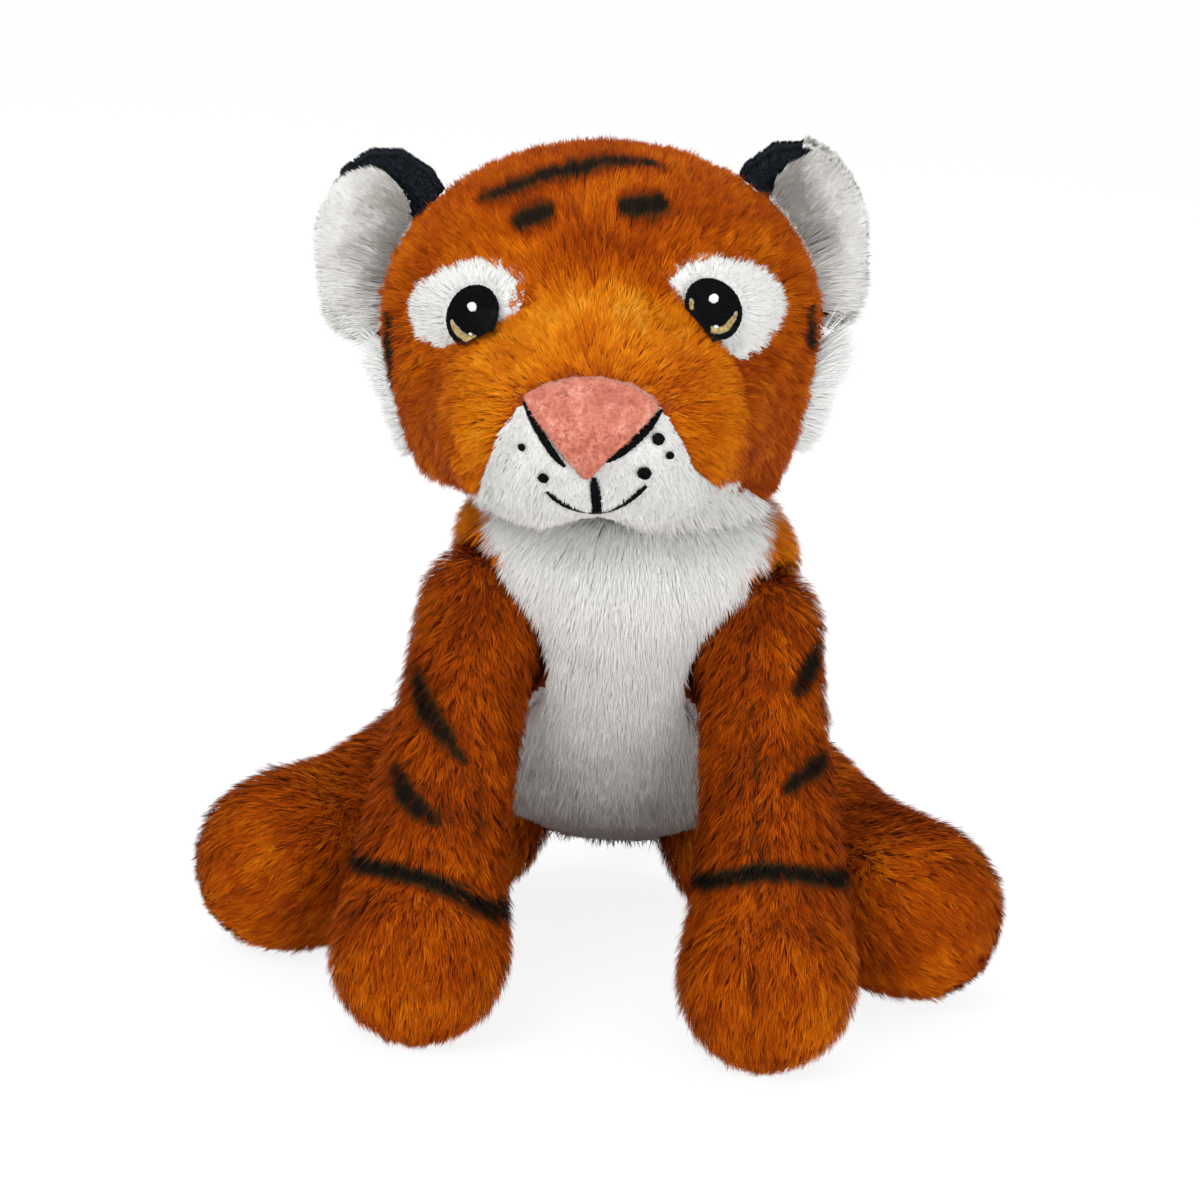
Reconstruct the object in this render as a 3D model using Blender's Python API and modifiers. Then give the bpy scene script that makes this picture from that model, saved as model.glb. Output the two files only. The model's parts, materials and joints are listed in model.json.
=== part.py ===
"""A sitting plush tiger: cloth skins sewn round stuffing, with a sewn-on face.

Metres, +Z up, its face towards -Y and its right and left as the viewer sees them.
"""

import math

import bmesh
import bpy
from mathutils import Matrix, Vector
from mathutils.bvhtree import BVHTree

# Cloth, felt, thread and the clearances between them
CLOTH = 0.0012
FELT = 0.0012
THREAD = 0.0007
CLEARANCE = 0.0003
PATCH_LIFT = 0.0005
STUFFING_CLEARANCE = 0.0005
SOLE_CUT = 0.0005
OVERRUN = 0.02

# How far back the middle of the footprint lies in the body's own coordinates
FOOTPRINT_Y = 0.0120

# Torso: its widest section, and its seat and neck seam, which the other sections follow
TORSO_HALF_WIDTH = 0.0530
TORSO_HALF_DEPTH = 0.0480
TORSO_SEAT_Y = 0.0440
TORSO_NECK_Y = 0.0040
SEAT_HEIGHT = 0.0180
NECK_HEIGHT = 0.1400
# height, half width, half depth and lean towards the neck, from neck to seat, and the tilt in degrees
TORSO_SECTION_SHARES = [
    (1.00, 0.72, 0.62, 1.00, 0.0),
    (0.91, 0.90, 0.80, 1.00, 0.0),
    (0.77, 0.96, 0.88, 0.90, 1.0),
    (0.58, 0.98, 0.94, 0.66, 4.0),
    (0.40, 1.00, 0.98, 0.42, 9.0),
    (0.25, 0.97, 0.99, 0.22, 13.0),
    (0.12, 0.88, 0.95, 0.11, 16.0),
    (0.05, 0.72, 0.80, 0.04, 17.5),
    (0.02, 0.40, 0.44, 0.01, 18.0),
]

# White chest panel: its half width from the top down
BIB_TOP = 0.1370
BIB_BOTTOM = 0.0400
BIB_HALF_WIDTH = 0.0335
BIB_SHARES = [
    (0.90, 1.00),
    (1.00, 0.88),
    (1.00, 0.74),
    (0.90, 0.58),
    (0.82, 0.44),
    (0.80, 0.22),
    (0.74, 0.03),
]

# Bag of pellets that weights the seat
PELLET_BAG_Y = 0.0620
PELLET_BAG_Z = 0.0290
PELLET_BAG_HALF_WIDTH = 0.0200
PELLET_BAG_HALF_DEPTH = 0.0150
PELLET_BAG_HALF_HEIGHT = 0.0150

# Hand-sewn seam that closes the back
CLOSING_SEAM_HEIGHT = 0.0860
CLOSING_SEAM_LENGTH = 0.0400

# Head: a skull, a broad muzzle and a narrow bridge that run into one another
HEAD_X = -0.0075
HEAD_TILT = 5.5
HEAD_CENTRE_HEIGHT = 0.0470
SKULL_HALF_WIDTH = 0.0610
SKULL_FRONT = 0.0480
SKULL_BACK = 0.0500
SKULL_TOP = 0.0480
SKULL_BOTTOM = 0.0800
MUZZLE_HALF_WIDTH = 0.0450
MUZZLE_HALF_LENGTH = 0.0530
MUZZLE_HALF_HEIGHT = 0.0270
MUZZLE_Y = -0.0260
MUZZLE_DROP = 0.0200
MUZZLE_SQUARE_SHARE = 0.3
BRIDGE_HALF_WIDTH = 0.0180
BRIDGE_HALF_LENGTH = 0.0450
BRIDGE_HALF_HEIGHT = 0.0240
BRIDGE_Y = -0.0220
BRIDGE_DROP = 0.0040
HEAD_BLEND = 0.0025
NECK_SEAM = 0.0025

# Face pieces, by their places across the head and up from the neck seam
EYE_X = 0.0320
EYE_Z = 0.0565
EYE_HALF_WIDTH = 0.0074
EYE_HALF_HEIGHT = 0.0081
IRIS_DROP = 0.0040
IRIS_HALF_WIDTH = 0.0045
IRIS_HALF_HEIGHT = 0.0018
GLINT_RISE = 0.0020
GLINT_RADIUS = 0.0014
EYE_PATCH_INNER = 0.0190
EYE_PATCH_OUTER = 0.0503
EYE_PATCH_TOP = 0.0693
EYE_PATCH_BOTTOM = 0.0435
# across from the inner end and up from the bottom
EYE_PATCH_SHARES = [
    (0.00, 0.74),
    (0.39, 1.00),
    (0.82, 0.76),
    (1.00, 0.46),
    (0.90, 0.18),
    (0.64, 0.00),
    (0.26, 0.26),
]
NOSE_HALF_WIDTH = 0.0175
NOSE_TOP = 0.0450
NOSE_TIP = 0.0184
# across from the middle and up from the tip
NOSE_SHARES = [
    (0.00, 0.00),
    (0.18, 0.06),
    (0.40, 0.25),
    (0.68, 0.50),
    (1.00, 0.76),
    (0.96, 0.84),
    (0.55, 0.96),
    (0.00, 1.00),
]
NOSE_LINE_SHARES = [(1.03, 0.68), (0.73, 0.43), (0.38, 0.19)]
LINE_WIDTH = 0.0023
LINE_END_SHARE = 0.55
MOUTH_BOTTOM = 0.0079
SMILE_HALF_WIDTH = 0.0130
SMILE_RISE = 0.0077
DOTS = {
    "whisker_dot_left_upper": (-0.0188, 0.0268, 0.0011),
    "whisker_dot_left_lower": (-0.0134, 0.0186, 0.0015),
    "whisker_dot_right_upper": (0.0164, 0.0286, 0.0017),
    "whisker_dot_right_middle": (0.0193, 0.0240, 0.0012),
    "whisker_dot_right_lower": (0.0126, 0.0195, 0.0019),
}
CHIN_HALF_WIDTH = 0.0320
CHIN_BOTTOM = 0.0025
# across as a share of the half width, and up as a share of the way from the chin's bottom to the nose
CHIN_SHARES = [
    (0.28, 1.42),
    (0.44, 1.89),
    (0.55, 1.98),
    (0.69, 1.67),
    (0.76, 1.23),
    (0.86, 0.88),
    (0.98, 0.50),
    (0.92, 0.20),
    (0.50, 0.04),
    (0.00, 0.00),
]
CHIN_NOTCH_SHARE = 0.92

# White cheek panel on each side of the head
RUFF_Y = 0.0020
RUFF_HALF_DEPTH = 0.0110
RUFF_TOP = 0.0370
RUFF_BOTTOM = 0.0080

# Ears: a cupped front and a fuller back
EAR_X = 0.0555
EAR_SHIFT = -0.0025
EAR_Y = 0.0060
EAR_Z = 0.0665
EAR_HALF_WIDTH = 0.0210
EAR_HALF_HEIGHT = 0.0275
EAR_FRONT_SHARE = 0.93
EAR_CUP = 0.0060
EAR_CLOTH = 0.0020
EAR_TURN = 14.0

# Front legs
SHOULDER_X = 0.0380
SHOULDER_Y = -0.0080
SHOULDER_Z = 0.1040
SHOULDER_RADIUS = 0.0195
ELBOW_RADIUS = 0.0187
WRIST_RADIUS = 0.0212
PAW_X = 0.0465
PAW_Y = -0.0780
PAW_HALF_WIDTH = 0.0250
PAW_HALF_HEIGHT = 0.0250
PAW_TOE = 0.0150
SHOULDER_SWINGS = (0.0, 8.0, 16.5, 25.0)
# across, forward and down from the shoulder to the paw
ELBOW_SHARES = (0.40, 0.32, 0.28)
WRIST_SHARES = (0.88, 0.64, 0.66)
HEEL_SHARES = (1.00, 0.82, 0.96)

# Hind legs
HIP_X = 0.0470
HIP_Y = 0.0360
HIP_RADIUS = 0.0325
KNEE_RADIUS = 0.0275
FOOT_X = 0.0890
FOOT_Y = -0.0120
FOOT_RADIUS = 0.0270
FOOT_TOE = 0.0260
KNEE_SHARE = 0.55
HIP_SWINGS = (0.0,)

# Tail, laid round to one side
TAIL_ROOT_Y = 0.0850
TAIL_ROOT_Z = 0.0430
TAIL_ROOT_RADIUS = 0.0095
TAIL_RADIUS = 0.0080
TAIL_TIP_LENGTH = 0.0080
TAIL_REACH_X = 0.0960
TAIL_REACH_Y = 0.0250
TAIL_SWINGS = (-10.0, 20.0)
# across and back as shares of the reach, and up as a share of the way from the floor to the root
TAIL_SHARES = [
    (0.04, 0.44, 0.70),
    (0.17, 0.86, 0.30),
    (0.40, 1.00, 0.04),
    (0.68, 0.74, 0.00),
    (1.00, 0.04, 0.00),
]

# Mesh fineness
RING_POINTS = 14
TAIL_POINTS = 10
TORSO_POINTS = 22
HEAD_POINTS = 28
HEAD_ROWS = 17
HEAD_FRONT_SHARE = 0.5
SOCKET_POINTS = 20
SPAN_STEPS = 2
BALL_STEPS = 3
EAR_ROWS = 3
SMILE_STEPS = 5
TOE_STEPS = 3
BALL_OPENING = 36.0
BALL_END = 92.0

ORANGE = ((0.56, 0.15, 0.02), 0.95)
WHITE = ((0.86, 0.85, 0.83), 0.95)
DARK = ((0.02, 0.022, 0.03), 0.95)
PINK = ((0.80, 0.28, 0.24), 0.90)
BLACK_THREAD = ((0.01, 0.01, 0.01), 0.55)
GOLD_THREAD = ((0.42, 0.24, 0.07), 0.50)
WHITE_THREAD = ((0.90, 0.90, 0.90), 0.50)
FIBRE = ((0.90, 0.90, 0.88), 1.00)
COTTON = ((0.70, 0.66, 0.58), 0.95)

SIDES = {"left": -1, "right": 1}
ACROSS = Vector((1, 0, 0))
BACKWARD = Vector((0, 1, 0))
UP = Vector((0, 0, 1))
HEAD_CENTRE = Vector((0, 0, HEAD_CENTRE_HEIGHT))
HEAD_REACH = 2 * (MUZZLE_HALF_LENGTH + SKULL_BACK)


def clear_scene():
    for obj in list(bpy.data.objects):
        bpy.data.objects.remove(obj, do_unlink=True)


def new_collection(name):
    collection = bpy.data.collections.new(name)
    bpy.context.scene.collection.children.link(collection)
    return collection


def material_of(name, look):
    colour, roughness = look
    material = bpy.data.materials.new(name)
    material.use_nodes = True
    shader = material.node_tree.nodes["Principled BSDF"]
    shader.inputs["Base Color"].default_value = (*colour, 1)
    shader.inputs["Roughness"].default_value = roughness
    shader.inputs["Metallic"].default_value = 0
    return material


def pivot(name, place, carrier=None):
    """An empty on a joint's axis, which carries the pieces that move with it."""
    empty = bpy.data.objects.new(name + "_pivot", None)
    empty.location = place
    empty.parent = carrier
    PARTS.objects.link(empty)
    return empty


def object_of(name, bm, look, carrier=None):
    """An object with its mesh in the carrier's own coordinates and shaded smooth."""
    mesh = bpy.data.meshes.new(name)
    bm.to_mesh(mesh)
    bm.free()
    mesh.shade_smooth()
    mesh.set_sharp_from_angle(angle=math.radians(50))
    mesh.materials.append(material_of(name, look))
    obj = bpy.data.objects.new(name, mesh)
    obj.parent = carrier or BODY
    PARTS.objects.link(obj)
    return obj


def cutter_of(name, bm, carrier=None):
    bmesh.ops.recalc_face_normals(bm, faces=bm.faces)
    mesh = bpy.data.meshes.new(name)
    bm.to_mesh(mesh)
    bm.free()
    obj = bpy.data.objects.new(name, mesh)
    obj.parent = carrier or BODY
    obj.hide_render = True
    obj.display_type = "WIRE"
    CUTTERS.objects.link(obj)
    return obj


def thicken(obj, thickness, offset):
    solidify = obj.modifiers.new("cloth", "SOLIDIFY")
    solidify.thickness = thickness
    solidify.offset = offset


def cut(obj, cutter, operation="DIFFERENCE"):
    boolean = obj.modifiers.new(cutter.name, "BOOLEAN")
    boolean.operation = operation
    boolean.object = cutter


def smoothed(stations, steps):
    """A Catmull-Rom curve through the stations, whose values may be places, radii or both."""
    values = [Vector(station) for station in stations]
    padded = [2 * values[0] - values[1]] + values + [2 * values[-1] - values[-2]]
    curve = []
    for before, start, end, after in zip(padded, padded[1:], padded[2:], padded[3:]):
        for step in range(steps):
            t = step / steps
            linear = (end - before) / 2
            square = before - 2.5 * start + 2 * end - after / 2
            cube = 1.5 * (start - end) + (after - before) / 2
            curve.append(start + linear * t + square * t**2 + cube * t**3)
    curve.append(values[-1])
    return curve


def closed_curve(points, steps):
    """A Catmull-Rom loop through the points."""
    count = len(points)
    wrapped = [points[(k - 1) % count] for k in range(count + 3)]
    return smoothed(wrapped, steps)[steps : steps * (count + 1)]


def mirrored(half):
    """A symmetric outline from its right half, which runs from bottom to top or from top to bottom."""
    other = [Vector((-point.x, point.y, point.z)) for point in reversed(half)]
    return half + [point for point in other if point.x]


def ring(centre, direction, across, half_width, half_height, points):
    """Points round an ellipse square to the direction, with its width along the way across."""
    side = (across - across.project(direction)).normalized()
    rise = side.cross(direction).normalized()
    turns = [2 * math.pi * k / points for k in range(points)]
    return [centre + side * half_width * math.sin(a) + rise * half_height * math.cos(a) for a in turns]


def loft(rings, start_open=False):
    """A surface through the rings. A ring of one point is a pole, and the first ring may stay open."""
    bm = bmesh.new()
    rows = [[bm.verts.new(point) for point in points] for points in rings]
    for lower, upper in zip(rows, rows[1:]):
        count = max(len(lower), len(upper))
        for k in range(count):
            following = (k + 1) % count
            corners = [lower[k % len(lower)], lower[following % len(lower)]]
            corners += [upper[following % len(upper)], upper[k % len(upper)]]
            bm.faces.new(dict.fromkeys(corners))
    if not start_open and len(rows[0]) > 1:
        bm.faces.new(rows[0])
    bmesh.ops.recalc_face_normals(bm, faces=bm.faces)
    bmesh.ops.triangulate(bm, faces=bm.faces)
    return bm


def shrunk(bm, depth):
    """Moves every point inwards by the depth."""
    bm.normal_update()
    moves = [(vert, vert.normal * depth) for vert in bm.verts]
    for vert, move in moves:
        vert.co -= move
    return bm


def skin_and_stuffing(name, rings, look, carrier, cutters):
    """A sleeve of cloth that is open at its first ring, and the stuffing that fills it."""
    skin = object_of(name + "_skin", loft(rings, start_open=True), look, carrier)
    thicken(skin, CLOTH, offset=-1)
    filling = shrunk(loft(rings), CLOTH + STUFFING_CLEARANCE)
    stuffing = object_of(name + "_stuffing", filling, FIBRE, carrier)
    for cutter in cutters:
        cut(skin, cutter)
        cut(stuffing, cutter)
    return skin, stuffing


def ball_rings(direction, radius, across, points):
    """Rings of a ball at the origin, from the opening on its back round to its widest part."""
    rings = []
    for step in range(BALL_STEPS + 1):
        angle = math.radians(BALL_OPENING + (BALL_END - BALL_OPENING) * step / BALL_STEPS)
        width = radius * math.sin(angle)
        rings.append(ring(direction * -radius * math.cos(angle), direction, across, width, width, points))
    return rings


def limb_rings(ball_radius, stations, toe, across, points):
    """Rings of a limb from its joint: a ball, a smooth tube through the stations and a rounded end."""
    direction = Vector(stations[0][:3]).normalized()
    rings = ball_rings(direction, ball_radius, across, points)
    curve = smoothed([(0, 0, 0, ball_radius, ball_radius), *stations], SPAN_STEPS)
    for before, here, after in zip(curve, curve[1:], curve[2:] + [curve[-1]]):
        direction = Vector((after - before)[:3]).normalized()
        rings.append(ring(Vector(here[:3]), direction, across, here[3], here[4], points))
    end = Vector(curve[-1][:3])
    for step in range(1, TOE_STEPS):
        angle = math.pi / 2 * step / TOE_STEPS
        width, height = curve[-1][3] * math.cos(angle), curve[-1][4] * math.cos(angle)
        rings.append(ring(end + direction * toe * math.sin(angle), direction, across, width, height, points))
    rings.append([end + direction * toe])
    return rings


def socket_cutter(name, centre, radius):
    """A ball that clears a joint's ball, with the flats of its facets outside the clearance."""
    bm = bmesh.new()
    grown = (radius + 2 * CLEARANCE) / math.cos(math.pi / SOCKET_POINTS) ** 2
    bmesh.ops.create_uvsphere(bm, u_segments=SOCKET_POINTS, v_segments=SOCKET_POINTS // 2, radius=grown)
    bmesh.ops.translate(bm, verts=bm.verts, vec=centre)
    return cutter_of(name, bm)


def pocket_cutters(name, rings, centre, axis, swings):
    """The limb itself, a little grown and turned to each of the swings, which clears its way."""
    cutters = []
    for count, swing in enumerate(swings):
        bm = shrunk(loft(rings), -CLEARANCE)
        turn = Matrix.Rotation(math.radians(swing), 4, axis)
        bmesh.ops.transform(bm, verts=bm.verts, matrix=Matrix.Translation(centre) @ turn)
        cutters.append(cutter_of(f"{name}_pocket_{count}", bm))
    return cutters


def floor_cutter():
    """A slab under the floor that cuts the soles flat."""
    reach = FOOT_X + FOOT_RADIUS + OVERRUN
    bm = bmesh.new()
    bmesh.ops.create_cube(bm, size=1)
    bmesh.ops.scale(bm, verts=bm.verts, vec=(2 * reach, 2 * reach, OVERRUN))
    bmesh.ops.translate(bm, verts=bm.verts, vec=UP * (-OVERRUN / 2))
    return cutter_of("floor_cutter", bm)


def prism(outline, view):
    """A block with the outline, which reaches from its plane towards whoever looks along the view."""
    bm = bmesh.new()
    near = [bm.verts.new(point - view * HEAD_REACH) for point in outline]
    far = [bm.verts.new(point) for point in outline]
    for k in range(len(outline)):
        following = (k + 1) % len(outline)
        bm.faces.new((near[k], near[following], far[following], far[k]))
    caps = [bm.faces.new(near), bm.faces.new(far)]
    bmesh.ops.triangulate(bm, faces=caps)
    return bm


def patch(name, rings, outline, look, carrier, layer=0.0, thickness=CLOTH, view=BACKWARD):
    """A piece of cloth, felt or embroidery sewn flat onto the surface through the rings."""
    sheet = shrunk(loft(rings, start_open=True), -PATCH_LIFT - layer)
    obj = object_of(name, sheet, look, carrier)
    thicken(obj, thickness, offset=1)
    cut(obj, cutter_of(name + "_outline", prism(outline, view), carrier), operation="INTERSECT")
    return obj


def stroke(points):
    """The outline of a line of satin stitch with narrowed ends."""
    sides = ([], [])
    last = len(points) - 1
    for k, here in enumerate(points):
        way = (points[min(k + 1, last)] - points[max(k - 1, 0)]).normalized()
        half = BACKWARD.cross(way) * LINE_WIDTH / 2 * (LINE_END_SHARE if k in (0, last) else 1)
        sides[0].append(here + half)
        sides[1].append(here - half)
    return sides[0] + sides[1][::-1]


def ellipse(x, z, half_width, half_height, points=10):
    turns = [2 * math.pi * k / points for k in range(points)]
    return [Vector((x + half_width * math.cos(a), 0, z + half_height * math.sin(a))) for a in turns]


def torso_rings():
    rings = []
    for height, width, depth, lean, tilt in smoothed(TORSO_SECTION_SHARES, SPAN_STEPS):
        z = SEAT_HEIGHT + (NECK_HEIGHT - CLEARANCE - SEAT_HEIGHT) * height
        y = TORSO_SEAT_Y + (TORSO_NECK_Y - TORSO_SEAT_Y) * lean
        slope = math.radians(tilt)
        direction = Vector((0, math.sin(slope), math.cos(slope)))
        centre = Vector((0, y, z))
        half_width, half_depth = TORSO_HALF_WIDTH * width, TORSO_HALF_DEPTH * depth
        rings.append(ring(centre, direction, ACROSS, half_width, half_depth, TORSO_POINTS))
    rings.append([sum(rings[-1], Vector()) / TORSO_POINTS])
    return rings


def make_torso(seats):
    rings = torso_rings()
    _, stuffing = skin_and_stuffing("torso", rings, ORANGE, None, seats)
    rise = BIB_TOP - BIB_BOTTOM
    half = [Vector((BIB_HALF_WIDTH * x, TORSO_NECK_Y, BIB_BOTTOM + rise * z)) for x, z in BIB_SHARES]
    chest_panel = patch("chest_panel", rings, mirrored(half), WHITE, None)
    for seat in seats:
        if seat.name.startswith("front_leg"):
            cut(chest_panel, seat)
    make_pellet_bag(stuffing)
    make_closing_seam(BVHTree.FromBMesh(loft(rings)))


def make_pellet_bag(stuffing):
    """A round bag that fills a pocket in the underside of the stuffing."""
    def bag(growth):
        bm = bmesh.new()
        bmesh.ops.create_uvsphere(bm, u_segments=RING_POINTS, v_segments=RING_POINTS // 2, radius=1)
        halves = (PELLET_BAG_HALF_WIDTH, PELLET_BAG_HALF_DEPTH, PELLET_BAG_HALF_HEIGHT)
        bmesh.ops.scale(bm, verts=bm.verts, vec=[half + growth for half in halves])
        bmesh.ops.translate(bm, verts=bm.verts, vec=(0, PELLET_BAG_Y, PELLET_BAG_Z))
        return bm

    inside = cutter_of("torso_inside", shrunk(loft(torso_rings()), CLOTH + STUFFING_CLEARANCE))
    pellet_bag = object_of("pellet_bag", bag(0), COTTON)
    cut(pellet_bag, inside, operation="INTERSECT")
    cut(stuffing, cutter_of("pellet_pocket", bag(CLEARANCE)))


def make_closing_seam(tree):
    """A thread laid up the middle of the back."""
    radius = THREAD / 2
    curve = bpy.data.curves.new("closing_seam", "CURVE")
    curve.dimensions = "3D"
    curve.bevel_depth = radius
    curve.bevel_resolution = 1
    curve.use_fill_caps = True
    spline = curve.splines.new("POLY")
    points = 9
    spline.points.add(points - 1)
    for k in range(points):
        height = CLOSING_SEAM_HEIGHT + CLOSING_SEAM_LENGTH * (k / (points - 1) - 0.5)
        place, normal, _, _ = tree.ray_cast(Vector((0, HEAD_REACH, height)), -BACKWARD)
        spline.points[k].co = (*(place + normal * (PATCH_LIFT + radius)), 1)
    curve.materials.append(material_of("closing_seam", GOLD_THREAD))
    obj = bpy.data.objects.new("closing_seam", curve)
    obj.parent = BODY
    PARTS.objects.link(obj)


def exit_distance(way, centre, halves, square_share):
    """How far a ray from the middle of the head runs inside a form, which is an ellipsoid at a share of 0."""
    power = 2 * (1 + square_share)
    low, high = 0.0, HEAD_REACH
    for _ in range(30):
        middle = (low + high) / 2
        offsets = [(w * middle - c) / half for w, c, half in zip(way, centre, halves)]
        if sum(abs(offset) ** power for offset in offsets) < 1:
            low = middle
        else:
            high = middle
    return high


def head_point(way):
    """The head's surface in one direction from its middle, where its three forms run into one another."""
    skull_depth = SKULL_FRONT if way.y < 0 else SKULL_BACK
    skull_height = SKULL_TOP if way.z > 0 else SKULL_BOTTOM
    muzzle_halves = (MUZZLE_HALF_WIDTH, MUZZLE_HALF_LENGTH, MUZZLE_HALF_HEIGHT)
    bridge_halves = (BRIDGE_HALF_WIDTH, BRIDGE_HALF_LENGTH, BRIDGE_HALF_HEIGHT)
    forms = [
        (Vector(), (SKULL_HALF_WIDTH, skull_depth, skull_height), 0),
        (Vector((0, MUZZLE_Y, -MUZZLE_DROP)), muzzle_halves, MUZZLE_SQUARE_SHARE),
        (Vector((0, BRIDGE_Y, -BRIDGE_DROP)), bridge_halves, 0),
    ]
    reaches = [exit_distance(way, *form) for form in forms]
    furthest = max(reaches)
    total = sum(math.exp((reach - furthest) / HEAD_BLEND) for reach in reaches)
    return HEAD_CENTRE + way * (furthest + HEAD_BLEND * math.log(total))


def head_way(azimuth, elevation):
    flat = math.cos(elevation)
    return Vector((flat * math.sin(azimuth), -flat * math.cos(azimuth), math.sin(elevation)))


def neck_elevation(azimuth):
    """The elevation at which the head's surface meets the level plane of the neck seam."""
    level = UP.copy()
    level.rotate(head_turn().inverted())
    low, high = -math.pi / 2, 0.0
    for _ in range(40):
        middle = (low + high) / 2
        if head_point(head_way(azimuth, middle)).dot(level) < 0:
            low = middle
        else:
            high = middle
    return high


def neck_hole(azimuth):
    """A point of the hole that seats on the torso's neck, in the head's own coordinates."""
    _, width, depth, _, _ = TORSO_SECTION_SHARES[0]
    across = (TORSO_HALF_WIDTH * width - NECK_SEAM) * math.sin(azimuth)
    back = (NECK_SEAM - TORSO_HALF_DEPTH * depth) * math.cos(azimuth)
    place = Vector((across, TORSO_NECK_Y + back, NECK_HEIGHT))
    return head_turn().inverted() @ (place - HEAD_PIVOT.location)


def head_turn():
    return HEAD_PIVOT.rotation_euler.to_quaternion()


def head_rings():
    """Rows from the neck seam up to the crown, with the columns closer together at the front."""
    columns = []
    for k in range(HEAD_POINTS):
        turn = 2 * math.pi * k / HEAD_POINTS
        azimuth = turn - HEAD_FRONT_SHARE * math.sin(turn)
        lowest = neck_elevation(azimuth)
        rows = [lowest + (math.pi / 2 - lowest) * row / HEAD_ROWS for row in range(HEAD_ROWS)]
        surface = [head_point(head_way(azimuth, elevation)) for elevation in rows]
        columns.append([neck_hole(azimuth), *surface])
    return [list(row) for row in zip(*columns)] + [[head_point(UP)]]


def make_head():
    rings = head_rings()
    skin_and_stuffing("head", rings, ORANGE, HEAD_PIVOT, [])
    make_eyes(rings)
    make_nose_and_mouth(rings)
    make_ruffs(rings)
    make_ears(cutter_of("head_cutter", shrunk(loft(rings), -CLEARANCE), HEAD_PIVOT))


def make_eyes(rings):
    over_patch = CLOTH + PATCH_LIFT
    over_eye = over_patch + THREAD + PATCH_LIFT
    wide, tall = EYE_PATCH_OUTER - EYE_PATCH_INNER, EYE_PATCH_TOP - EYE_PATCH_BOTTOM
    for side, sign in SIDES.items():
        corners = []
        for x, z in EYE_PATCH_SHARES:
            corners.append(Vector((sign * (EYE_PATCH_INNER + wide * x), 0, EYE_PATCH_BOTTOM + tall * z)))
        patch("eye_patch_" + side, rings, closed_curve(corners, 2), WHITE, HEAD_PIVOT)
        x = sign * EYE_X
        pupil = ellipse(x, EYE_Z, EYE_HALF_WIDTH, EYE_HALF_HEIGHT, 14)
        patch("eye_" + side, rings, pupil, BLACK_THREAD, HEAD_PIVOT, over_patch, THREAD)
        iris = ellipse(x, EYE_Z - IRIS_DROP, IRIS_HALF_WIDTH, IRIS_HALF_HEIGHT)
        patch("eye_iris_" + side, rings, iris, GOLD_THREAD, HEAD_PIVOT, over_eye, THREAD)
        glint = ellipse(x, EYE_Z + GLINT_RISE, GLINT_RADIUS, GLINT_RADIUS)
        patch("eye_glint_" + side, rings, glint, WHITE_THREAD, HEAD_PIVOT, over_eye, THREAD)


def nose_point(shares, sign=1):
    across, up = shares
    return Vector((sign * NOSE_HALF_WIDTH * across, 0, NOSE_TIP + (NOSE_TOP - NOSE_TIP) * up))


def make_nose_and_mouth(rings):
    over_chin = CLOTH + PATCH_LIFT
    nose = mirrored([nose_point(shares) for shares in NOSE_SHARES])
    patch("nose", rings, nose, PINK, HEAD_PIVOT, thickness=FELT)
    drop = NOSE_TIP - CHIN_BOTTOM
    half = [Vector((CHIN_HALF_WIDTH * x, 0, CHIN_BOTTOM + drop * z)) for x, z in CHIN_SHARES]
    notch = Vector((0, 0, CHIN_BOTTOM + drop * CHIN_NOTCH_SHARE))
    patch("chin_panel", rings, mirrored([notch, *half]), WHITE, HEAD_PIVOT)
    above, below = NOSE_TIP - LINE_WIDTH, MOUTH_BOTTOM + LINE_WIDTH
    lines = {"lip_line": [Vector((0, 0, above)), Vector((0, 0, below))], "smile_line": []}
    for k in range(-SMILE_STEPS, SMILE_STEPS + 1):
        share = k / SMILE_STEPS
        rise = SMILE_RISE * share**2
        lines["smile_line"].append(Vector((SMILE_HALF_WIDTH * share, 0, MOUTH_BOTTOM + rise)))
    for side, sign in SIDES.items():
        lines["nose_line_" + side] = [nose_point(shares, sign) for shares in NOSE_LINE_SHARES]
    for name, points in lines.items():
        patch(name, rings, stroke(points), BLACK_THREAD, HEAD_PIVOT, over_chin, THREAD)
    for name, (x, z, radius) in DOTS.items():
        patch(name, rings, ellipse(x, z, radius, radius, 8), BLACK_THREAD, HEAD_PIVOT, over_chin, THREAD)


def make_ruffs(rings):
    middle, half = (RUFF_TOP + RUFF_BOTTOM) / 2, (RUFF_TOP - RUFF_BOTTOM) / 2
    for side, sign in SIDES.items():
        face_on = ellipse(0, middle, RUFF_HALF_DEPTH, half, RING_POINTS)
        outline = [Vector((0, RUFF_Y + point.x, point.z)) for point in face_on]
        patch("cheek_ruff_" + side, rings, outline, WHITE, HEAD_PIVOT, view=ACROSS * -sign)


def faced(bm, way):
    """Turns the faces of an open sheet to look along the way."""
    bm.normal_update()
    if sum((face.normal for face in bm.faces), Vector()).dot(way) < 0:
        bmesh.ops.reverse_faces(bm, faces=bm.faces)
    return bm


def circle(points):
    return [2 * math.pi * k / points for k in range(points)]


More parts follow.
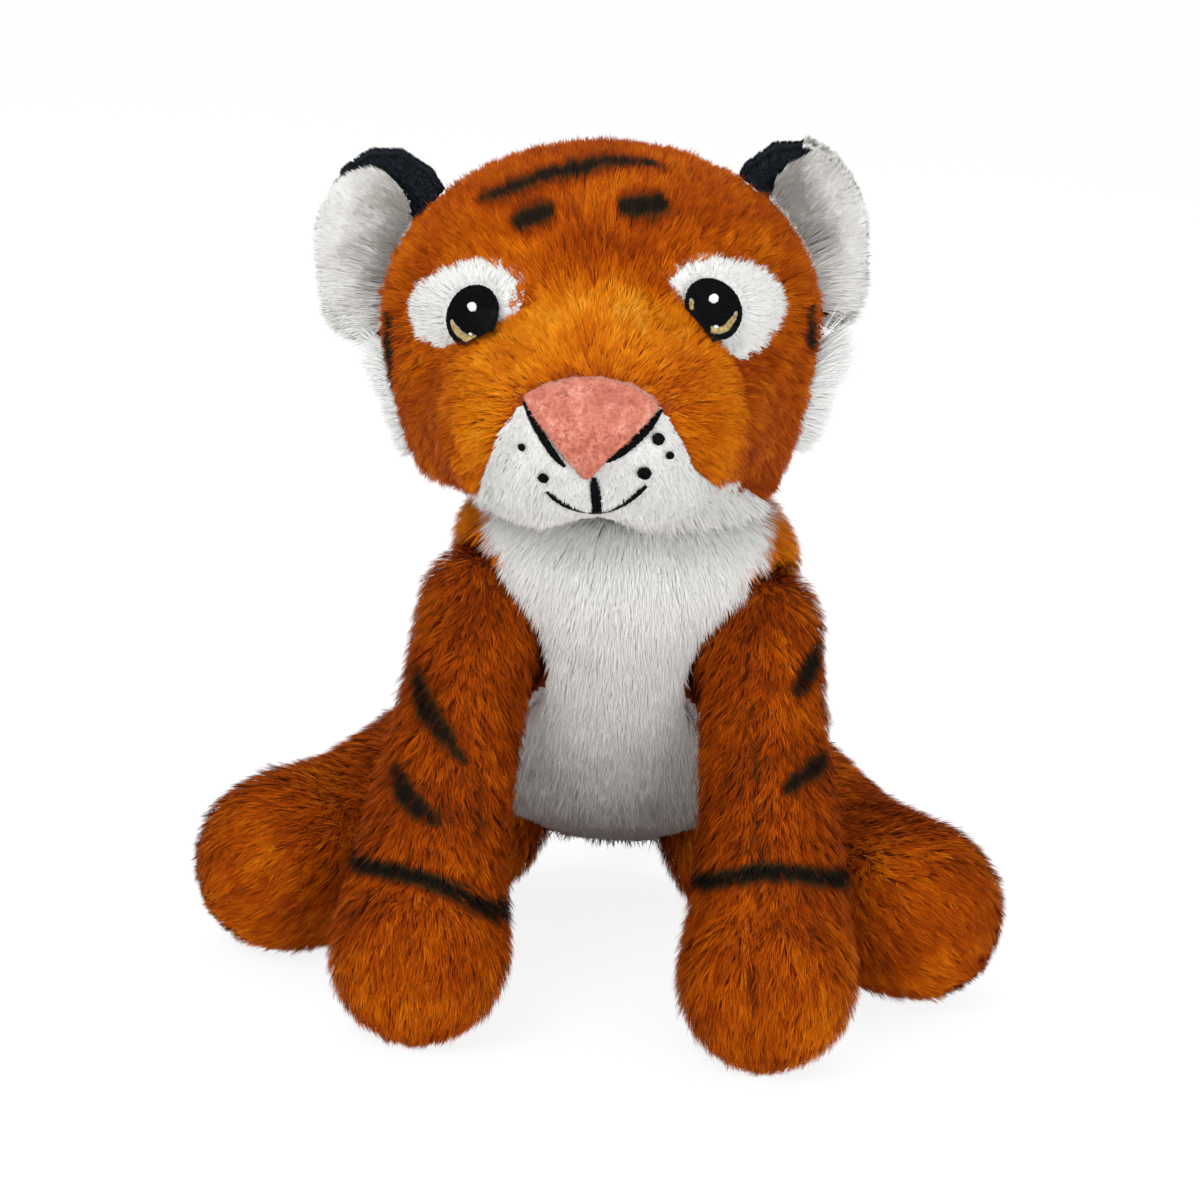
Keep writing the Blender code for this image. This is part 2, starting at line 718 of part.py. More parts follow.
def ear_dish(size, depth, sign):
    """A dish that is cupped towards the front, turned outwards and set on the side of the head."""
    rings = []
    for row in range(EAR_ROWS + 1):
        share = row / EAR_ROWS
        back = EAR_CUP * (1 - share**2) + depth
        half_width, half_height = EAR_HALF_WIDTH * size * share, EAR_HALF_HEIGHT * size * share
        angles = circle(RING_POINTS if row else 1)
        rings.append([Vector((half_width * math.cos(a), back, half_height * math.sin(a))) for a in angles])
    bm = loft(rings, start_open=True)
    turn = Matrix.Rotation(math.radians(EAR_TURN) * sign, 4, UP)
    place = Matrix.Translation(Vector((EAR_X * sign + EAR_SHIFT, EAR_Y, EAR_Z)))
    bmesh.ops.transform(bm, verts=bm.verts, matrix=place @ turn)
    return faced(bm, BACKWARD)


def make_ears(head_cutter):
    for side, sign in SIDES.items():
        front = object_of("ear_front_" + side, ear_dish(EAR_FRONT_SHARE, 0, sign), WHITE, HEAD_PIVOT)
        behind = ear_dish(1, EAR_CLOTH + CLEARANCE, sign)
        back = object_of("ear_back_" + side, behind, DARK, HEAD_PIVOT)
        for dish in (front, back):
            thicken(dish, EAR_CLOTH, offset=-1)
            cut(dish, head_cutter)


def front_leg_rings(sign):
    drop = PAW_HALF_HEIGHT - SOLE_CUT - SHOULDER_Z
    reach = Vector((sign * (PAW_X - SHOULDER_X), PAW_Y - SHOULDER_Y, drop))

    def station(shares, half_width, half_height):
        return (*[way * share for way, share in zip(reach, shares)], half_width, half_height)

    stations = [
        station(ELBOW_SHARES, ELBOW_RADIUS, ELBOW_RADIUS),
        station(WRIST_SHARES, WRIST_RADIUS, WRIST_RADIUS),
        station(HEEL_SHARES, PAW_HALF_WIDTH, PAW_HALF_HEIGHT),
        station((1, 1, 1), PAW_HALF_WIDTH, PAW_HALF_HEIGHT),
    ]
    return limb_rings(SHOULDER_RADIUS, stations, PAW_TOE, ACROSS, RING_POINTS)


def hind_leg_rings(sign):
    hip_rise, foot_rise = HIP_RADIUS - SOLE_CUT, FOOT_RADIUS - SOLE_CUT
    reach = Vector((sign * (FOOT_X - HIP_X), FOOT_Y - HIP_Y, foot_rise - hip_rise))
    knee = reach * KNEE_SHARE
    knee.z = KNEE_RADIUS - SOLE_CUT - hip_rise
    stations = [(*knee, KNEE_RADIUS, KNEE_RADIUS), (*reach, FOOT_RADIUS, FOOT_RADIUS)]
    return limb_rings(HIP_RADIUS, stations, FOOT_TOE, ACROSS, RING_POINTS)


def tail_rings():
    floor = TAIL_RADIUS + CLEARANCE
    stations = []
    for across, back, up in TAIL_SHARES:
        rise = (floor - TAIL_ROOT_Z) * (1 - up)
        stations.append((TAIL_REACH_X * across, TAIL_REACH_Y * back, rise, TAIL_RADIUS, TAIL_RADIUS))
    return limb_rings(TAIL_ROOT_RADIUS, stations, TAIL_TIP_LENGTH, UP, TAIL_POINTS)


def make_limbs():
    """The legs and the tail, each in its seat in the torso. Returns the cutters of the seats."""
    shoulder = (SHOULDER_X, SHOULDER_Y, SHOULDER_Z)
    hip = (HIP_X, HIP_Y, HIP_RADIUS - SOLE_CUT)
    root = (0, TAIL_ROOT_Y, TAIL_ROOT_Z)
    floor = [floor_cutter()]
    seats = []
    for side, sign in SIDES.items():
        front, hind = front_leg_rings(sign), hind_leg_rings(sign)
        name = "front_leg_" + side
        seats += make_limb(name, shoulder, sign, front, SHOULDER_RADIUS, -ACROSS, SHOULDER_SWINGS, floor)
        name = "hind_leg_" + side
        seats += make_limb(name, hip, sign, hind, HIP_RADIUS, UP, HIP_SWINGS, floor)
    return seats + make_limb("tail", root, 1, tail_rings(), TAIL_ROOT_RADIUS, UP, TAIL_SWINGS, [])


def make_limb(name, place, sign, rings, ball_radius, axis, swings, cutters):
    centre = Vector((sign * place[0], *place[1:]))
    skin_and_stuffing(name, rings, ORANGE, pivot(name, centre, BODY), cutters)
    socket = socket_cutter(name + "_socket", centre, ball_radius)
    return [*pocket_cutters(name, rings, centre, axis, swings), socket]


clear_scene()
PARTS = new_collection("plush_tiger")
CUTTERS = new_collection("cutters")
BODY = pivot("body", (0, -FOOTPRINT_Y, 0))
HEAD_PIVOT = pivot("head", (HEAD_X, 0, NECK_HEIGHT), BODY)
HEAD_PIVOT.rotation_euler = (0, math.radians(-HEAD_TILT), 0)
make_torso(make_limbs())
make_head()
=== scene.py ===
"""A sitting plush tiger: strands of pile on stuffed cloth forms, a felt nose and satin stitch.

Metres, +Z up, its face towards -Y. Left and right are as the viewer sees them.
"""

import json
import math

import bpy
import numpy as np
from mathutils import Matrix, Vector, noise
from mathutils.bvhtree import BVHTree
from mathutils.kdtree import KDTree


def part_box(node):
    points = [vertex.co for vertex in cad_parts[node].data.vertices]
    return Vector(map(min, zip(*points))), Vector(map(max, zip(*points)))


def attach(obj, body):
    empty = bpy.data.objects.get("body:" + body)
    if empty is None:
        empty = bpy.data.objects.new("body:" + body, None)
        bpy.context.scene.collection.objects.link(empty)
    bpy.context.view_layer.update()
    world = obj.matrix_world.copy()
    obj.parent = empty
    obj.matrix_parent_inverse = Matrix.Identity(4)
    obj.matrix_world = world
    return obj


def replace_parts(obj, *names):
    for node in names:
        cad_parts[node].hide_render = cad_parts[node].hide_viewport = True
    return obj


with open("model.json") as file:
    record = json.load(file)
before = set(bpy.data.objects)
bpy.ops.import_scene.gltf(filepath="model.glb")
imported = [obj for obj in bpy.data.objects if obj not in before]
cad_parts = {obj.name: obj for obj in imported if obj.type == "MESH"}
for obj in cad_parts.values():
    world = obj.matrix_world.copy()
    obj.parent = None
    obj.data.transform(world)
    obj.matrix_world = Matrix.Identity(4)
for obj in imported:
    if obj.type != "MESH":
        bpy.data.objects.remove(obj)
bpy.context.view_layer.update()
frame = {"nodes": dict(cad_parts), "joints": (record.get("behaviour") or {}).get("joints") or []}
NODES = frame["nodes"]
JOINTS = {joint["name"]: joint for joint in frame["joints"]}

# The camera, from the photograph's frame of 1200 pixels a side
PHOTO_SIDE = 1200
TARGET_PIXEL = (621, 613)
FOCAL_PIXELS = 3559
TARGET = Vector((0, -0.012, 0.103))
CAMERA_DISTANCE = 1.0
CAMERA_ELEVATION = 15.0
CAMERA_ROLL = 4.5
SENSOR_WIDTH = 36.0

# The head's own coordinates, which the places on the face are given in
HEAD_TILT = 5.5
HEAD = Matrix.Translation(JOINTS["head_turn"]["pos_m"]) @ Matrix.Rotation(math.radians(-HEAD_TILT), 4, "Y")

# Stuffed forms: how far the cloth lies in from the CAD filling's surface, or out from it where the pile is
# short, before the stuffing swells it
VOXEL = 0.0026
EAR_VOXEL = 0.0010
NOSE_VOXEL = 0.0006
SKIN_DEPTH = 0.0017
SHORT_SKIN_RISE = 0.0001
SWELL = 0.0009
SWELL_FRAMES = 12
PRESSURE = 4.0
CREASE_DEPTH = 0.0030
CREASE_HALF_WIDTH = 0.0030

# Pile: a strand is a ribbon that has corners at these shares of its length, as wide there as the tapers say.
# Densities are in places per square metre, and the white pile has two strands at each place.
RING_SHARES = (0.0, 0.4, 0.75)
RING_TAPERS = (1.0, 0.9, 0.6)
STRAND_HALF_WIDTH = 0.00012
FACE_STRAND_HALF_WIDTH = 0.00011
WHITE_STRAND_HALF_WIDTH = 0.00010
TUFT_SPLAY = 0.0003
WHITE_PILE = {"half_width": WHITE_STRAND_HALF_WIDTH, "gather": 0.04, "roll": 0.08}
DENSITY = 3.7e6
FACE_DENSITY = 5.5e6
EAR_DENSITY = 6.5e6
ORANGE_LENGTH = 0.0070
ORANGE_LIFT = 26.0
FACE_LIFT = 28.0
BIB_LENGTH = 0.0090
BIB_HALF_WIDTH = 0.034
BIB_LOW, BIB_HIGH = 0.046, 0.128
CHIN_LENGTH = 0.0042
EYE_PATCH_LENGTH = 0.0043
RUFF_LENGTH = 0.0125
RUFF_LIFT = 64.0
EAR_LENGTH = 0.0044
TAIL_LENGTH = 0.0055
TINT_HALF_WIDTH = 0.004
STRAND_LIMIT = 39000
FLOOR_CLEARANCE = 0.0003
BODY_CLEARANCE = 0.0042

# How much clumps and strands differ, as standard deviations: in lift, way, length and tint
CLUMP_LIFT_SPREAD = 0.16
STRAND_LIFT_SPREAD = 0.12
STRAND_WAY_SPREAD = 0.13
LENGTH_SPREAD = 0.09
TINT_SPREAD = 0.045
ROOT_DEPTH = 0.0004
STRAND_BEND = 0.16

# Tints, as places on the colour ramps
HEAD_TINT = 0.52
BODY_TINT = 0.44
TORSO_TINT = 0.53
# The paws' tint, which the outer shoulder also takes as painted light
PAW_TINT = 0.515
HIND_LEG_TINT = 0.50
WHITE_TINT = 0.60
DYED_TINT = 0.02

# Embroidery: the spacing, half width and height of the threads
THREAD_GAP = 0.00030
THREAD_STEP = 0.00022
THREAD_HALF_WIDTH = 0.00019
THREAD_HEIGHT = 0.00022
EYE_REACH = 0.0120

# The seam that closes the back: its stitches' spacing, half width, and height over the CAD skin
SEAM_GAP = 0.0030
SEAM_HALF_WIDTH = 0.0016
SEAM_RISE = 0.0012

# How far out the rays towards the face and the back start
RAY_START = 0.2

# Stripes and creases that the photograph shows on the body, in its pixels, with half widths in metres
LEG_STRIPES = {
    "front_leg_left": [
        ([(411, 664), (417, 692), (430, 716), (448, 738), (468, 764)], 0.0029),
        ([(386, 722), (389, 760), (401, 790), (417, 808), (442, 824)], 0.0029),
    ],
    "front_leg_right": [
        ([(826, 618), (823, 646), (814, 668), (796, 696)], 0.0031),
        ([(844, 738), (832, 755), (812, 770), (782, 793)], 0.0026),
    ],
}
ANKLE_BANDS = {
    "front_leg_left": ([(316, 872), (338, 866), (366, 868), (395, 875), (424, 883), (466, 899), (510, 914)],
                       0.0017),
    "front_leg_right": ([(690, 886), (722, 877), (753, 877), (785, 876), (820, 878), (858, 893)], 0.0020),
}
LEG_CREASES = {
    "front_leg_left": [(486, 700), (481, 765), (475, 875)],
    "front_leg_right": [(752, 690), (755, 740), (761, 892), (755, 960), (752, 1020)],
}
HIND_CREASE = [(869, 746), (885, 785), (902, 825)]
FACE_CREASES = [
    [(438, 345), (440, 406), (453, 452), (484, 495)],
    [(744, 345), (752, 406), (756, 452), (752, 491)],
    [(522, 303), (548, 278), (591, 263), (634, 280), (668, 315)],
]
# Painted shade along the cheeks beside the muzzle and under the edge of the brow
CHEEK_SHADES = [
    [(434, 375), (435, 400), (438, 430), (450, 470)],
    [(746, 352), (750, 400), (753, 450), (750, 486)],
]
BROW_SHADE = [(518, 294), (545, 265), (591, 252), (637, 265), (670, 300)]

FOREHEAD_STROKES = [
    ([(476, 199), (498, 192), (531, 179), (564, 170), (587, 165), (609, 160), (626, 160), (648, 162),
      (668, 168)], 0.0033),
    ([(510, 222), (532, 216), (555, 206)], 0.0036),
    ([(618, 206), (643, 205), (668, 198)], 0.0042),
]
NOSE_OUTLINE = [
    (524, 390), (529, 402), (544, 432), (558, 457), (573, 474), (585, 480), (598, 467), (607, 455),
    (624, 441), (643, 423), (660, 406), (655, 397), (633, 382), (600, 373), (573, 373), (544, 380),
]

# Stripes at the sides and the back of the head, in its own coordinates, with half widths
HEAD_STRIPES = [
    ([(0.0579, -0.0140, 0.0520), (0.0585, -0.0130, 0.0380)], 0.0034),
    ([(-0.0575, -0.0140, 0.0520), (-0.0585, -0.0120, 0.0300)], 0.0036),
    ([(-0.0330, 0.0200, 0.0860), (0.0, 0.0240, 0.0925), (0.0330, 0.0200, 0.0860)], 0.0034),
    ([(-0.0380, 0.0360, 0.0700), (0.0, 0.0420, 0.0780), (0.0380, 0.0360, 0.0700)], 0.0034),
    ([(-0.0360, 0.0400, 0.0480), (0.0, 0.0500, 0.0560), (0.0360, 0.0400, 0.0480)], 0.0034),
]
NOSE_PLACE = (0.0, -0.0800, 0.0400)
NOSE_SWELL = 0.0007
FUZZ_DENSITY = 7e6
FUZZ_LENGTH = 0.0011
FUZZ_HALF_WIDTH = 0.00005

# Each eye as the photograph shows it: the pixel at its middle, the lean of its top towards the nose, and how
# far below its middle and at what angle the muzzle's pile cuts it off
EYES = {
    "left": {"pixel": (472, 316), "lean": 36.0, "cut": 0.0053, "cut_angle": 64.0},
    "right": {"pixel": (714, 308), "lean": 42.0, "cut": 0.0053, "cut_angle": 42.0},
}
EYE_HALF_WIDTH = 0.0067
EYE_HALF_HEIGHT = 0.0086
GOLD_RING = (0.60, 0.80)
GLINTS = [(0.0, 0.0024, 0.0013), (0.0005, -0.0045, 0.0006)]

# Embroidered strokes: points in the photograph's pixels and half widths in metres
STROKES = {
    "nose_line_left": ([(524, 401), (531, 416), (540, 432), (549, 447), (557, 458), (565, 466)], 0.0010),
    "nose_line_right": ([(662, 409), (652, 422), (641, 435), (630, 445), (619, 453), (606, 461)], 0.0011),
    "lip_line": ([(594, 477), (596, 494), (597, 511)], 0.0013),
    "smile_line": ([(547, 491), (556, 499), (567, 505), (582, 510), (597, 512), (611, 509), (625, 502),
                    (637, 494), (647, 485)], 0.0010),
}
STROKE_RISE = 0.0014

# The chin's white edge on each side: heights and half widths in the head's own coordinates
CHIN_TOP = 0.0365
CHIN_EDGE = {
    "left": [(-0.004, 0.0330), (0.0097, 0.0300), (0.0178, 0.0285), (0.0235, 0.0262), (0.0296, 0.0242),
             (0.0365, 0.0190)],
    "right": [(-0.004, 0.0410), (0.0060, 0.0365), (0.0127, 0.0320), (0.0153, 0.0280), (0.0201, 0.0245),
              (0.0280, 0.0215), (0.0365, 0.0165)],
}

# Stripes round the back of the body and the tail, which the photograph doesn't show
BACK_STRIPES = (0.118, 0.094, 0.070, 0.047)
BACK_STRIPE_HALF_WIDTH = 0.0032
TAIL_RINGS = 5
TAIL_RING_HALF_WIDTH = 0.0035

SIDES = {"left": -1, "right": 1}


def array_of(vectors):
    return np.array([tuple(vector) for vector in vectors], float)


def picked(mask, *columns):
    return [column[mask] for column in columns]


def unit(rows):
    return rows / np.maximum(np.linalg.norm(rows, axis=1, keepdims=True), 1e-12)


def graded(values, start, end):
    """0 up to the start, 1 from the end on, and an even change between them."""
    return np.clip((values - start) / (end - start), 0, 1)


def along_surface(ways, normals):
    """The ways with the part along the normals taken out, as unit rows."""
    return unit(ways - (ways * normals).sum(1, keepdims=True) * normals)


def to_head(points):
    """Rows in the head's own coordinates."""
    turned = np.array(HEAD.inverted())
    return points @ turned[:3, :3].T + turned[:3, 3]


def numbers_of(items, name, width):
    values = np.empty(len(items) * width, np.float32)
    items.foreach_get(name, values)
    return values.reshape(-1, width).astype(float)


def mesh_arrays(mesh):
    """(points, triangles, smooth normals) of a mesh."""
    mesh.calc_loop_triangles()
    triangles = np.empty(len(mesh.loop_triangles) * 3, np.int32)
    mesh.loop_triangles.foreach_get("vertices", triangles)
    points = numbers_of(mesh.vertices, "co", 3)
    normals = numbers_of(mesh.vertex_normals, "vector", 3)
    return points, triangles.reshape(-1, 3), normals


def tree_of(*names):
    """The surface of CAD nodes, for rays and distances."""
    return tree_from([NODES[name].data for name in names])


def tree_from(meshes):
    points, faces = [], []
    for mesh in meshes:
        faces += [[v + len(points) for v in face.vertices] for face in mesh.polygons]
        points += [vertex.co.copy() for vertex in mesh.vertices]
    return BVHTree.FromPolygons(points, faces)


def link(name, mesh, body, slot):
    piece = bpy.data.objects.new(name, mesh)
    bpy.context.scene.collection.objects.link(piece)
    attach(piece, body)
    return piece


def mesh_from(name, points, faces, material, smooth=True):
    """A mesh from rows of points and a list of arrays of faces, each with its own number of corners."""
    mesh = bpy.data.meshes.new(name)
    corners = np.concatenate([rows.ravel() for rows in faces])
    sizes = np.concatenate([np.full(len(rows), rows.shape[1]) for rows in faces])
    starts = np.concatenate([[0], np.cumsum(sizes)[:-1]])
    mesh.vertices.add(len(points))
    mesh.vertices.foreach_set("co", np.asarray(points, np.float32).ravel())
    mesh.loops.add(len(corners))
    mesh.loops.foreach_set("vertex_index", corners.astype(np.int32))
    mesh.polygons.add(len(sizes))
    mesh.polygons.foreach_set("loop_start", starts.astype(np.int32))
    mesh.update(calc_edges=True)
    if smooth:
        mesh.shade_smooth()
    mesh.materials.append(material)
    return mesh


# Camera, floor and light


def make_camera():
    tilt, roll = math.radians(CAMERA_ELEVATION), math.radians(CAMERA_ROLL)
    back = Vector((0, -math.cos(tilt), math.sin(tilt)))
    right = Vector((1, 0, 0))
    rise = back.cross(right)
    axes = Matrix((
        right * math.cos(roll) + rise * math.sin(roll),
        rise * math.cos(roll) - right * math.sin(roll),
        back,
    )).transposed()
    data = bpy.data.cameras.new("camera")
    data.sensor_width = SENSOR_WIDTH
    data.lens = SENSOR_WIDTH * FOCAL_PIXELS / PHOTO_SIDE
    data.shift_x = 0.5 - TARGET_PIXEL[0] / PHOTO_SIDE
    data.shift_y = TARGET_PIXEL[1] / PHOTO_SIDE - 0.5
    camera = bpy.data.objects.new("camera", data)
    camera.matrix_world = Matrix.Translation(TARGET + back * CAMERA_DISTANCE) @ axes.to_4x4()
    bpy.context.scene.collection.objects.link(camera)
    bpy.context.scene.camera = camera


def math_of(tree, operation, *values):
    """The result of a maths node, whose inputs are sockets or numbers."""
    node = tree.nodes.new("ShaderNodeMath")
    node.operation = operation
    for socket, value in zip(node.inputs, values):
        if isinstance(value, bpy.types.NodeSocket):
            tree.links.new(value, socket)
        else:
            socket.default_value = value
    return node.outputs[0]


def seen_directly(tree):
    """1 for rays from the camera, by reflection or through glass, and 0 for the rays that light things."""
    rays = tree.nodes.new("ShaderNodeLightPath").outputs
    seen = math_of(tree, "MAXIMUM", rays["Is Camera Ray"], rays["Is Glossy Ray"])
    return math_of(tree, "MAXIMUM", seen, rays["Is Transmission Ray"])


def make_floor():
    size, white_share, grey = 4.0, 0.82, 0.90
    glow = 1.06
    mesh = bpy.data.meshes.new("floor")
    corners = [(-size, -size, 0), (size, -size, 0), (size, size, 0), (-size, size, 0)]
    mesh.from_pydata(corners, [], [(0, 1, 2, 3)])
    floor = bpy.data.objects.new("floor", mesh)
    bpy.context.scene.collection.objects.link(floor)
    material = bpy.data.materials.new("floor")
    material.use_nodes = True
    tree = material.node_tree
    shader, output = tree.nodes["Principled BSDF"], tree.nodes["Material Output"]
    shader.inputs["Base Color"].default_value = (grey, grey, grey, 1)
    shader.inputs["Roughness"].default_value = 0.9
    shader.inputs["Specular IOR Level"].default_value = 0
    white = tree.nodes.new("ShaderNodeEmission")
    white.inputs["Strength"].default_value = glow
    mix = tree.nodes.new("ShaderNodeMixShader")
    tree.links.new(math_of(tree, "MULTIPLY", seen_directly(tree), white_share), mix.inputs["Fac"])
    tree.links.new(shader.outputs[0], mix.inputs[1])
    tree.links.new(white.outputs[0], mix.inputs[2])
    tree.links.new(mix.outputs[0], output.inputs["Surface"])
    mesh.materials.append(material)


def make_light():
    fill = 0.72
    world = bpy.data.worlds.new("studio")
    world.use_nodes = True
    bpy.context.scene.world = world
    tree = world.node_tree
    background = tree.nodes["Background"]
    background.inputs["Color"].default_value = (1, 1, 1, 1)
    level = math_of(tree, "MULTIPLY_ADD", seen_directly(tree), 1 - fill, fill)
    tree.links.new(level, background.inputs["Strength"])
    lamps = [
        ("key", (-0.55, -1.10, 1.05), 0.80, 13.0),
        ("fill", (0.60, -1.25, 0.35), 0.80, 7.5),
        ("top", (0.00, 0.35, 1.40), 0.90, 5.0),
    ]
    for name, place, size, power in lamps:
        data = bpy.data.lights.new(name, "AREA")
        data.shape = "DISK"
        data.size = size
        data.energy = power
        lamp = bpy.data.objects.new(name, data)
        lamp.location = place
        lamp.rotation_euler = (TARGET - Vector(place)).to_track_quat("-Z", "Y").to_euler()
        bpy.context.scene.collection.objects.link(lamp)


# Materials


def material_of(name, roughness=0.8, sheen=0.0):
    material = bpy.data.materials.new(name)
    material.use_nodes = True
    shader = material.node_tree.nodes["Principled BSDF"]
    shader.inputs["Roughness"].default_value = roughness
    shader.inputs["Specular IOR Level"].default_value = 0.2
    shader.inputs["Sheen Weight"].default_value = sheen
    return material, material.node_tree, shader


def ramp_of(tree, source, stops):
    """A colour ramp that reads the source."""
    ramp = tree.nodes.new("ShaderNodeValToRGB")
    elements = ramp.color_ramp.elements
    while len(elements) > 1:
        elements.remove(elements[-1])
    for k, (place, colour) in enumerate(stops):
        element = elements[0] if k == 0 else elements.new(place)
        element.position = place
        element.color = (*colour, 1)
    tree.links.new(source, ramp.inputs["Fac"])
    return ramp.outputs["Color"]


def pile_material(name, tints, root_painted_shade, middle_painted_shade):
    """Pile whose map holds each strand's tint across and the way from its root to its tip upwards."""
    material, tree, shader = material_of(name, roughness=0.8)
    shader.inputs["Specular IOR Level"].default_value = 0.06
    place = tree.nodes.new("ShaderNodeUVMap")
    place.uv_map = "OFBake"
    split = tree.nodes.new("ShaderNodeSeparateXYZ")
    tree.links.new(place.outputs["UV"], split.inputs[0])
    tint = ramp_of(tree, split.outputs["X"], tints)
    # The pile darkens and reddens towards its roots: painted shade deep in the pile.
    shade = ramp_of(tree, split.outputs["Y"], [(0.0, root_painted_shade), (0.5, middle_painted_shade), (1.0, (1, 1, 1))])
    blend = tree.nodes.new("ShaderNodeMix")
    blend.data_type = "RGBA"
    blend.blend_type = "MULTIPLY"
    blend.inputs["Factor"].default_value = 1
    tree.links.new(tint, blend.inputs["A"])
    tree.links.new(shade, blend.inputs["B"])
    tree.links.new(blend.outputs["Result"], shader.inputs["Base Color"])
    return material


ORANGE_TINTS = [
    (0.00, (0.003, 0.004, 0.004)),
    (0.12, (0.022, 0.013, 0.005)),
    (0.22, (0.080, 0.026, 0.004)),
    (0.34, (0.190, 0.025, 0.000)),
    (0.50, (0.400, 0.063, 0.000)),
    (0.65, (0.590, 0.140, 0.001)),
    (0.80, (0.750, 0.238, 0.004)),
    (1.00, (0.880, 0.450, 0.050)),
]
# The ramp's dark low end serves the painted shade low on the bib and in the ears.
WHITE_TINTS = [
    (0.00, (0.26, 0.24, 0.22)),
    (0.30, (0.62, 0.61, 0.58)),
    (0.60, (0.79, 0.79, 0.77)),
    (1.00, (0.86, 0.86, 0.85)),
]
DARK_TINTS = [(0.0, (0.0008, 0.0014, 0.0018)), (1.0, (0.004, 0.008, 0.010))]
PINK_TINTS = [(0.0, (0.34, 0.085, 0.055)), (0.5, (0.49, 0.165, 0.112)), (1.0, (0.64, 0.300, 0.230))]


def cloth_material(name, colour):
    """The knitted backing that the pile is rooted in."""
    material, tree, shader = material_of(name, roughness=0.95)
    coordinates = tree.nodes.new("ShaderNodeTexCoord")
    knit = tree.nodes.new("ShaderNodeTexVoronoi")
    knit.inputs["Scale"].default_value = 900
    tree.links.new(coordinates.outputs["Object"], knit.inputs["Vector"])
    dark = tuple(value * 0.7 for value in colour)
    shade = ramp_of(tree, knit.outputs["Distance"], [(0.0, colour), (0.8, dark)])
    tree.links.new(shade, shader.inputs["Base Color"])
    add_bump(tree, shader, knit.outputs["Distance"], 0.0003)
    return material


def add_bump(tree, shader, height, distance):
    bump = tree.nodes.new("ShaderNodeBump")
    bump.inputs["Distance"].default_value = distance
    tree.links.new(height, bump.inputs["Height"])
    tree.links.new(bump.outputs["Normal"], shader.inputs["Normal"])


def noise_of(tree, scale, detail=3.0):
    coordinates = tree.nodes.new("ShaderNodeTexCoord")
    texture = tree.nodes.new("ShaderNodeTexNoise")
    texture.inputs["Scale"].default_value = scale
    texture.inputs["Detail"].default_value = detail
    tree.links.new(coordinates.outputs["Object"], texture.inputs["Vector"])
    return texture.outputs["Fac"]


def thread_material(name, colour, light):
    """Shiny embroidery thread whose colour varies a little from stitch to stitch."""
    material, tree, shader = material_of(name, roughness=0.50)
    shader.inputs["Specular IOR Level"].default_value = 0.05
    shade = ramp_of(tree, noise_of(tree, 900), [(0.35, colour), (0.70, light)])
    tree.links.new(shade, shader.inputs["Base Color"])
    return material


def felt_material():
    """Pressed wool, mottled over a few millimetres and in its fibres."""
    material, tree, shader = material_of("pink_felt", roughness=0.9, sheen=0.15)
    mottles = math_of(tree, "MULTIPLY", noise_of(tree, 240), 0.7)
    blend = math_of(tree, "MULTIPLY_ADD", noise_of(tree, 1500, 6.0), 0.3, mottles)
    stops = [(place, colour) for place, (_, colour) in zip((0.30, 0.50, 0.72), PINK_TINTS)]
    tree.links.new(ramp_of(tree, blend, stops), shader.inputs["Base Color"])
    add_bump(tree, shader, noise_of(tree, 1800, 5.0), 0.00015)
    return material


MATERIALS = {
    # The last two colours of each pile are its painted shade at the roots and at the middle.
    "orange_plush": pile_material("orange_plush", ORANGE_TINTS, (0.84, 0.72, 0.64), (0.95, 0.91, 0.87)),
    "white_plush": pile_material("white_plush", WHITE_TINTS, (0.96, 0.96, 0.96), (0.99, 0.99, 0.99)),
    "dark_plush": pile_material("dark_plush", DARK_TINTS, (0.7, 0.7, 0.7), (0.9, 0.9, 0.9)),
    "pink_fuzz": pile_material("pink_fuzz", PINK_TINTS, (0.9, 0.9, 0.9), (1.0, 1.0, 1.0)),
    "orange_cloth": cloth_material("orange_cloth", (0.26, 0.038, 0.002)),
    "white_cloth": cloth_material("white_cloth", (0.72, 0.72, 0.70)),
    "dark_cloth": cloth_material("dark_cloth", (0.008, 0.012, 0.018)),
    "pink_felt": felt_material(),
    "black_thread": thread_material("black_thread", (0.0008, 0.0008, 0.001), (0.003, 0.003, 0.004)),
    "gold_thread": thread_material("gold_thread", (0.24, 0.17, 0.06), (0.50, 0.38, 0.16)),
    "white_thread": thread_material("white_thread", (0.62, 0.62, 0.63), (0.80, 0.80, 0.80)),
    "sewing_thread": thread_material("sewing_thread", (0.36, 0.085, 0.008), (0.52, 0.15, 0.015)),
    "cotton": cloth_material("cotton", (0.62, 0.58, 0.50)),
}


# Stuffed forms


def evaluated_mesh(piece):
    graph = bpy.context.evaluated_depsgraph_get()
    return bpy.data.meshes.new_from_object(piece.evaluated_get(graph), depsgraph=graph)


def remeshed(node, voxel, smoothing):
    """A smooth closed mesh of even faces in the shape of a CAD node."""
    piece = bpy.data.objects.new("work", NODES[node].data.copy())
    bpy.context.scene.collection.objects.link(piece)
    remesh = piece.modifiers.new("remesh", "REMESH")
    remesh.mode = "VOXEL"
    remesh.voxel_size = voxel
    smooth = piece.modifiers.new("smooth", "SMOOTH")
    smooth.factor = 0.5
    smooth.iterations = smoothing
    bpy.context.view_layer.update()
    mesh = evaluated_mesh(piece)
    bpy.data.objects.remove(piece, do_unlink=True)
    mesh.shade_smooth()
    return mesh


